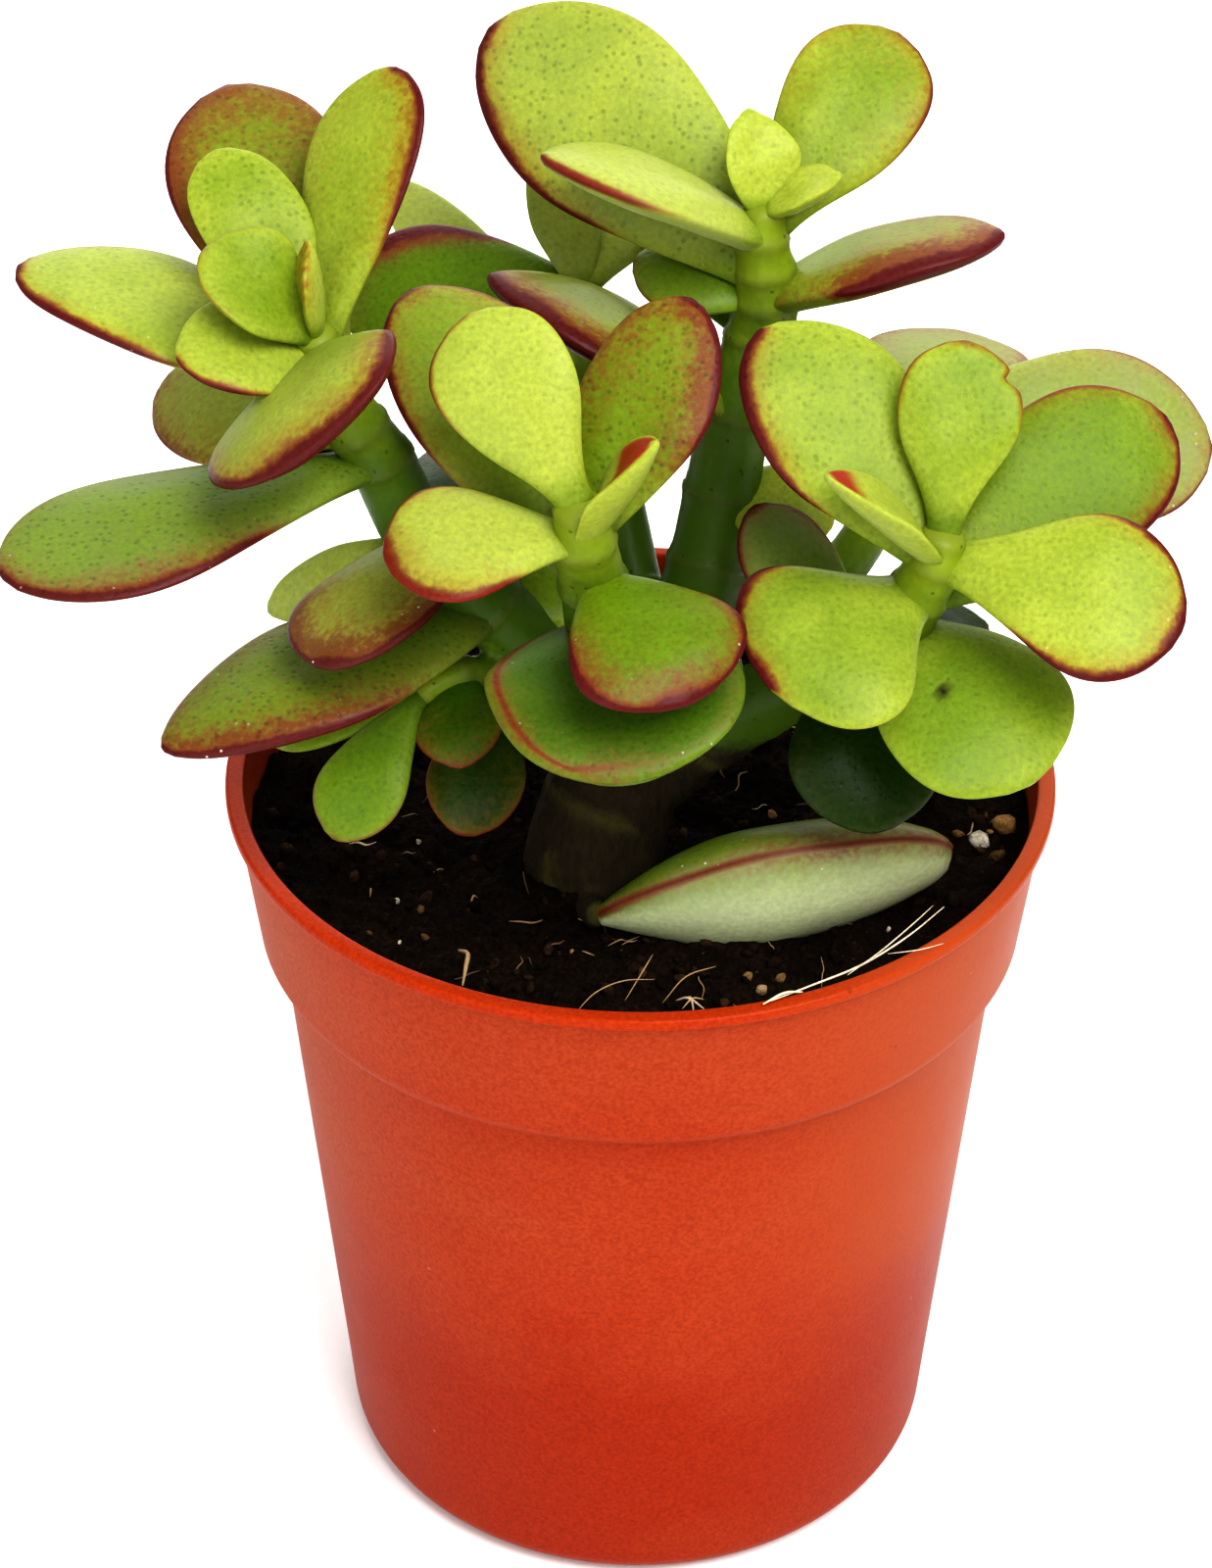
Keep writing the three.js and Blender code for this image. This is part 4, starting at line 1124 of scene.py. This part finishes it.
def pot_material(look):
    """Injection moulded plastic: dull rubbed upper sides with a painted sheen, a right side lightened as
    painted light, a glossier lip, small scuffs and flow marks.
    """
    material, sheet = new_material("Terracotta plastic")
    place = sheet.place()
    x, _, z = sheet.split(place)
    mottle = mottling(sheet, place, scale=38.0, fine=0.3)["Value"]
    flow = sheet.noise(sheet.stretched(place, (0.25, 0.25, 1)), scale=60.0, detail=4.0)
    grain = sheet.noise(place, scale=2200.0, detail=2.0)
    high = (z + mottle * 0.006).ease(0.024, 0.05)
    lip = z.ease(0.0882, 0.0889)
    # A dull, rubbed look lies on the upper part, mottled with flow marks, and never on the lip. At the
    # sides it is a painted sheen that stands in for the plastic's reflection at a grazing angle.
    rubbed_and_sheen = high * 0.5 + mottle * 0.22 + flow.ease(0.35, 0.7, low=-0.15, high=0.2)
    painted_side_sheen = (x * x).ease(0.0003, 0.0014, low=-0.1, high=0.25) * high
    rubbed_and_sheen = sheet.math("ADD", rubbed_and_sheen, painted_side_sheen, clamp=True) * (1.0 - lip)
    colour = sheet.mix(high * 0.8, look.low, look.plastic)
    colour = sheet.mix(rubbed_and_sheen, colour, look.rubbed_and_sheen_colour)
    colour = sheet.mix(lip * 0.8, colour, look.lip)
    shade = grain.ease(0.2, 0.8, low=0.84, high=1.16)
    colour = sheet.shaded(colour, shade, cool_shade=grain.ease(0.2, 0.8, low=0.74, high=1.26))
    # Painted light: the upper right side is lightened toward a lighter orange.
    colour = sheet.mix(x.ease(0.004, 0.038, high=0.7) * high, colour, look.painted_light_side)
    dust = speckles(sheet, place, scale=260.0, size=0.07, share=0.12)["Mask"]
    colour = sheet.mix(dust * 0.6, colour, look.dust)
    dirt = speckles(sheet, place, scale=190.0, size=0.06, share=0.1)["Mask"]
    colour = sheet.mix(dirt * 0.55, colour, look.dirt)
    rough = mottle.ease(-1.0, 1.0, low=0.4, high=0.5) + lip * -0.17
    height = grain * 0.5 + flow * 1.5
    finish_material(sheet, colour, rough, height, depth=0.0001, strength=0.35, gloss=0.07)
    return material


# ---- Soil ------------------------------------------------------------------

SOIL_GAP = 0.12         # how far the soil stays off the pot, in mm
COLLAR_SLOPE = 0.11     # how much the collar widens for each mm of height
INNERMOST_RING = 0.4
FLAT_MIDDLE = 2.0       # radius within which the clods die out, under the trunk
CRUMB_REACH = 40.5      # how far from the middle crumbs and fibres may start, in mm
FIBRE_REACH = 38.5
FIBRE_LIMIT = 40.0      # and how far fibres may lead
CRUMB_SIZE = (0.16, 0.75)  # the least size in mm, and how much larger the rare big ones are
GRIT_SIZES = (0.18, 0.5)
FIBRE_RADII = (0.06, 0.13)
FIBRE_LENGTHS = (1.2, 4.2)
CRUMB_SIDES = 7
CRUMB_RINGS = (-0.72, -0.1, 0.55)
FIBRE_SIDES = 6
FIBRE_STEPS = 6


def soil_height(x, y, soil, rim_radius):
    """Height of the smooth surface in mm, as in the part's source."""
    dome = soil.mound * (0.5 - (x * x + y * y) / rim_radius ** 2)
    waves = sum(high * np.sin(ax * x + ay * y + start) for ax, ay, start, high in SOIL_WAVES)
    return soil.level + dome + waves


def clod_height(x, y, soil):
    """Rounded clods with dark gaps between them, in mm above the smooth surface."""
    place = Vector((x / soil.clod, y / soil.clod, 3.7))
    near = noise.voronoi(place, distance_metric="DISTANCE", exponent=2.5)[0]
    dome = math.sqrt(max(0.0, 1 - (near[0] / 0.75) ** 2))
    crumb = noise.fractal(place * 2.6, 0.9, 2.1, 4)
    patch = 0.6 + 0.6 * noise.noise(place * 0.3)
    return soil.relief * (dome * patch - 0.45 + 0.42 * crumb)


def soil_material(look):
    """Dark moist peat. The crumb shade of a point leads to brown, bark and white grit."""
    material, sheet = new_material("Moist peat")
    place = sheet.place()
    mottle = mottling(sheet, place, scale=160.0, fine=0.9)["Value"]
    fine = sheet.noise(place, scale=1900.0, detail=5.0, roughness=0.7)
    colour = sheet.ramp(mottle, look.peat, (-0.8, 1.4, look.light_peat))
    colour = sheet.ramp(
        sheet.layer("crumb_shade", "Fac"), colour, (0.0, 0.5, look.crumb), (0.5, 0.8, look.bark),
        (0.8, 1.0, look.stone))
    colour = sheet.shaded(colour, fine.ease(0.25, 0.75, low=0.45, high=1.5))
    rough = fine.ease(0.2, 0.8, low=0.98, high=0.7)
    finish_material(sheet, colour, rough, fine, depth=0.0006, strength=0.9, gloss=0.04)
    return material


def fibre_material(look):
    """Dry rootlets, from dark ones to straw and bleached ones."""
    material, sheet = new_material("Dry fibre")
    streak = sheet.noise(sheet.place(), scale=2600.0)
    colour = sheet.ramp(
        sheet.layer("fibre_pale", "Fac"), look.root, (0.0, 0.5, look.straw), (0.5, 1.0, look.bleached))
    colour = sheet.mix(streak.ease(0.3, 0.8, high=0.5), colour, look.streak)
    rough = streak.ease(0.2, 0.8, low=0.5, high=0.8)
    finish_material(sheet, colour, rough, streak, depth=0.0001, strength=0.5)
    return material


def crumb_skin(centre, size, dice):
    """A small irregular lump."""
    turn = circle(CRUMB_SIDES)
    stretch = size * dice.uniform(0.6, 1.25, 3)
    spin = dice.uniform(0, 2 * np.pi)
    rings = []
    for rise in CRUMB_RINGS:
        radius = math.sqrt(1 - rise * rise) * dice.uniform(0.75, 1.2, CRUMB_SIDES)
        rings.append(ring_of(radius, turn + spin, rise + dice.uniform(-0.12, 0.12, CRUMB_SIDES)))
    points, faces = closed_skin(np.array(rings), np.array([0, 0, -1.0]), np.array([0, 0, 0.95]))
    tilt = dice.uniform(-0.5, 0.5, 2)
    points = points * stretch
    points[:, 2] += points[:, 0] * tilt[0] + points[:, 1] * tilt[1]
    return points + centre, faces


def fibre_skin(points, radius):
    """A thin curved thread through a few points, tapering at both ends."""
    places, directions, _ = centre_line([(*p, radius) for p in points], FIBRE_STEPS)
    share = np.linspace(0, 1, len(places))
    radii = radius * (0.35 + 0.65 * np.sin(np.pi * np.clip(share * 0.9 + 0.08, 0, 1)))
    return tube(places, directions, radii, FIBRE_SIDES)


class Ground:
    """The soil's surface, and random places on it."""

    def __init__(self, scene, dice):
        self.soil = in_mm(scene.jade_soil)
        self.rim_radius = scene.jade_pot.rim_radius / MM
        self.dice = dice

    def height(self, x, y):
        smooth = float(soil_height(x, y, self.soil, self.rim_radius))
        return smooth + clod_height(x, y, self.soil)

    def anywhere(self, reach):
        radius = reach * math.sqrt(self.dice.uniform(0, 1))
        turn = self.dice.uniform(0, 2 * math.pi)
        return radius * math.cos(turn), radius * math.sin(turn)


def scattered_crumbs(ground, settings, dice):
    """Skins and shades of the brown crumbs, the pale grit and the crumbs that stand out."""
    lumps = []
    shades = []

    def drop(x, y, size, rise):
        centre = np.array([x, y, ground.height(x, y) + rise * size])
        lumps.append(crumb_skin(centre, size, dice))

    least, range_up = CRUMB_SIZE
    for _ in range(settings.crumbs):
        x, y = ground.anywhere(CRUMB_REACH)
        drop(x, y, least + range_up * dice.uniform(0, 1) ** 3, 0.25)
        shades.append(dice.choice(CRUMB_SHADES[0], p=CRUMB_SHADES[1]))
    for _ in range(settings.grit):
        x, y = ground.anywhere(CRUMB_REACH)
        drop(x, y, dice.uniform(*GRIT_SIZES), 0.3)
        shades.append(dice.choice(GRIT_SHADES))
    for x, y, size, shade in SHOWN_CRUMBS:
        drop(x, y, size, 0.4)
        shades.append(shade)
    return lumps, shades


def wandering_line(ground, dice):
    """Four points of a rootlet that winds over the soil and lifts a little in the middle."""
    x, y = ground.anywhere(FIBRE_REACH)
    heading = dice.uniform(0, 2 * math.pi)
    stride = dice.uniform(*FIBRE_LENGTHS) / 3
    line = []
    for k in range(4):
        heading += dice.uniform(-0.7, 0.7)
        rise = 0.25 + 0.5 * dice.uniform(0, 1) * (k in (1, 2))
        line.append((x, y, ground.height(x, y) + rise))
        x += math.cos(heading) * stride
        y += math.sin(heading) * stride
        inside = min(1.0, FIBRE_LIMIT / max(math.hypot(x, y), 0.1))
        x *= inside
        y *= inside
    return line


def scattered_fibres(ground, settings, dice):
    """Skins and shades of the rootlets, and of the threads that stand out."""
    threads = []
    shades = []
    for _ in range(settings.fibres):
        line = wandering_line(ground, dice)
        threads.append(fibre_skin(line, dice.uniform(*FIBRE_RADII)))
        shades.append(dice.choice(FIBRE_SHADES[0], p=FIBRE_SHADES[1]))
    for line, radius, shade in SHOWN_FIBRES:
        threads.append(fibre_skin(line, radius))
        shades.append(shade)
    return threads, shades


# ---- Operators -------------------------------------------------------------

class JADE_OT_pot(bpy.types.Operator):
    """Builds the plastic nursery pot with its lip, collar, step and drain holes"""

    bl_idname = "jade.pot"
    bl_label = "Pot"

    def execute(self, context):
        settings = context.scene.jade_pot
        points, faces = lathe(pot_profile(in_mm(settings)), settings.segments)
        material = pot_material(settings)
        pot = make_piece("nursery_pot", points, faces, material)
        holes, hole_faces, _ = drain_holes(settings)
        cutter = make_piece("drain_cutter", holes, hole_faces, material)
        cut = pot.modifiers.new("Drain holes", "BOOLEAN")
        cut.operation = "DIFFERENCE"
        cut.object = cutter
        bake_modifiers(pot)
        bpy.data.objects.remove(cutter)
        pot.data.set_sharp_from_angle(angle=SHARP_EDGE)
        dress(pot, "pot_plastic", "pot")
        return {"FINISHED"}


class JADE_OT_soil(bpy.types.Operator):
    """Builds the potting soil with its clods"""

    bl_idname = "jade.soil"
    bl_label = "Soil"

    def execute(self, context):
        settings = context.scene.jade_soil
        soil = in_mm(settings)
        pot = in_mm(context.scene.jade_pot)
        inset = pot.wall + SOIL_GAP
        bottom = pot.floor + SOIL_GAP
        edge = pot.collar_foot_radius + COLLAR_SLOPE * (soil.level - pot.collar_foot) - inset
        turn = circle(settings.segments)
        rings = [ring_of(radius, turn, height) for radius, height in wall_line(pot, inset, bottom, 3)]
        for radius in np.linspace(edge, INNERMOST_RING, settings.rings):
            ring = ring_of(radius, turn, 0.0)
            clods = np.array([clod_height(x, y, soil) for x, y, _ in ring])
            smooth = soil_height(ring[:, 0], ring[:, 1], soil, pot.rim_radius)
            ring[:, 2] = smooth + clods * min(1, radius / FLAT_MIDDLE)
            rings.append(ring)
        points, faces = closed_skin(np.array(rings), np.array([0, 0, bottom]), rings[-1].mean(axis=0))
        layers = {"crumb_shade": np.zeros(len(points))}
        piece = make_piece("potting_soil", points, faces, soil_material(settings), layers)
        dress(piece, "potting_soil", "soil")
        return {"FINISHED"}


class JADE_OT_litter(bpy.types.Operator):
    """Scatters crumbs, pale grit, rootlets and fibres over the soil"""

    bl_idname = "jade.litter"
    bl_label = "Crumbs and fibres"

    def execute(self, context):
        settings = context.scene.jade_soil
        dice = np.random.default_rng(settings.seed)
        ground = Ground(context.scene, dice)
        for name, scatter, layer, material in (
                ("soil_crumbs", scattered_crumbs, "crumb_shade", bpy.data.materials["Moist peat"]),
                ("soil_fibres", scattered_fibres, "fibre_pale", fibre_material(settings))):
            skins, shades = scatter(ground, settings, dice)
            points, faces, counts = joined(skins)
            piece = make_piece(name, points, faces, material, {layer: np.repeat(shades, counts)})
            dress(piece, "potting_soil")
        return {"FINISHED"}


class JADE_OT_stems(bpy.types.Operator):
    """Grows the trunk and branches into one body, with knuckles where leaves sit"""

    bl_idname = "jade.stems"
    bl_label = "Stems"

    def execute(self, context):
        settings = context.scene.jade_stems
        skins, samples = stem_tubes()
        points, faces, _ = joined(skins)
        stems = make_piece("stems_grown", points, faces, stem_material(settings))
        remesh = stems.modifiers.new("Join", "REMESH")
        remesh.mode = "VOXEL"
        remesh.voxel_size = settings.voxel
        soften = stems.modifiers.new("Soften", "SMOOTH")
        soften.factor = 0.6
        soften.iterations = 7
        bake_modifiers(stems)
        raise_bark(stems.data, samples, settings)
        stems.data.shade_smooth()
        dress(stems, "stem_bark", "stems")
        return {"FINISHED"}


class JADE_OT_leaves(bpy.types.Operator):
    """Shapes every leaf and gives it the skin of its age"""

    bl_idname = "jade.leaves"
    bl_label = "Leaves"

    def execute(self, context):
        settings = context.scene.jade_leaves
        skins = {
            "young": leaf_material("Young leaf skin", glow=0.12, gloss=0.13),
            "grown": leaf_material("Grown leaf skin", glow=0.08, gloss=0.12),
            "old": leaf_material("Old leaf skin", glow=0.05, gloss=0.14),
        }
        for i, leaf in enumerate(LEAVES):
            dice = np.random.default_rng(settings.seed * 100 + i)
            points, faces, layers = leaf_skin(leaf, settings, dice)
            piece = make_piece(f"fine_leaf_{leaf.name}", points, faces, skins[leaf.age], layers)
            dress(piece, f"leaf_{leaf.age}", f"leaf_{leaf.name}")
        return {"FINISHED"}


class JADE_OT_stage(bpy.types.Operator):
    """Sets up the pale floor, the soft lights and the camera"""

    bl_idname = "jade.stage"
    bl_label = "Stage"

    def execute(self, context):
        settings = context.scene.jade_stage
        scene = context.scene
        scene.view_settings.view_transform = "Standard"
        scene.view_settings.look = "High Contrast"
        self.lay_floor(settings)
        self.light_up(scene, settings)
        self.aim_camera(scene, settings)
        return {"FINISHED"}

    def lay_floor(self, settings):
        paper, sheet = new_material("Pale paper")
        fine = sheet.noise(sheet.place(), scale=400.0)
        tint = sheet.ramp(fine, settings.paper, (0.2, 0.8, settings.light_paper))
        finish_material(sheet, tint, 0.9, fine, depth=0.0001, strength=0.1)
        reach = 4000.0
        corners = [(-reach, -reach, 0), (reach, -reach, 0), (reach, reach, 0), (-reach, reach, 0)]
        floor = make_piece("floor", np.array(corners), [(0, 1, 2, 3)], paper)

    def light_up(self, scene, settings):
        world = bpy.data.worlds.new("Soft studio")
        world.use_nodes = True
        background = world.node_tree.nodes["Background"]
        background.inputs["Color"].default_value = (1.0, 1.0, 1.0, 1)
        background.inputs["Strength"].default_value = settings.sky
        scene.world = world
        plant = Vector((0, 0, 0.09))
        for name, power, size, at in LIGHTS:
            lamp = bpy.data.lights.new(name, "AREA")
            lamp.energy = getattr(settings, power)
            lamp.size = size
            light = bpy.data.objects.new(name, lamp)
            light.location = at
            light.rotation_euler = (plant - Vector(at)).to_track_quat("-Z", "Y").to_euler()
            scene.collection.objects.link(light)

    def aim_camera(self, scene, settings):
        lens = bpy.data.cameras.new("Front view")
        lens.lens = settings.lens
        lens.sensor_width = 36
        lens.clip_start = 0.01
        lens.clip_end = 20
        camera = bpy.data.objects.new("Front view", lens)
        camera.location = settings.place
        camera.rotation_euler = (math.pi / 2 - settings.pitch, 0, settings.yaw)
        scene.collection.objects.link(camera)
        scene.camera = camera


class JADE_PT_plant(bpy.types.Panel):
    """Lists the builders of the plant, and their settings"""

    bl_idname = "JADE_PT_plant"
    bl_label = "Jade plant"
    bl_space_type = "VIEW_3D"
    bl_region_type = "UI"
    bl_category = "Jade plant"

    def draw(self, context):
        for builder in BUILDERS:
            self.layout.operator(builder.bl_idname)
        for key in SETTINGS:
            group = getattr(context.scene, key)
            box = self.layout.box()
            for name in group.bl_rna.properties.keys():
                if name not in ("rna_type", "name"):
                    box.prop(group, name)


BUILDERS = (JADE_OT_pot, JADE_OT_soil, JADE_OT_litter, JADE_OT_stems, JADE_OT_leaves, JADE_OT_stage)
SETTINGS = {
    "jade_pot": PotSettings,
    "jade_soil": SoilSettings,
    "jade_stems": StemSettings,
    "jade_leaves": LeafSettings,
    "jade_stage": StageSettings,
}


def register():
    for group in (*SETTINGS.values(), *BUILDERS, JADE_PT_plant):
        bpy.utils.register_class(group)
    for key, group in SETTINGS.items():
        setattr(bpy.types.Scene, key, bpy.props.PointerProperty(type=group))


def unregister():
    for key in SETTINGS:
        delattr(bpy.types.Scene, key)
    for group in (JADE_PT_plant, *reversed(BUILDERS), *SETTINGS.values()):
        bpy.utils.unregister_class(group)


def main():
    register()
    bpy.ops.jade.pot()
    bpy.ops.jade.soil()
    bpy.ops.jade.litter()
    bpy.ops.jade.stems()
    bpy.ops.jade.leaves()
    bpy.ops.jade.stage()


if __name__ == "__main__":
    main()
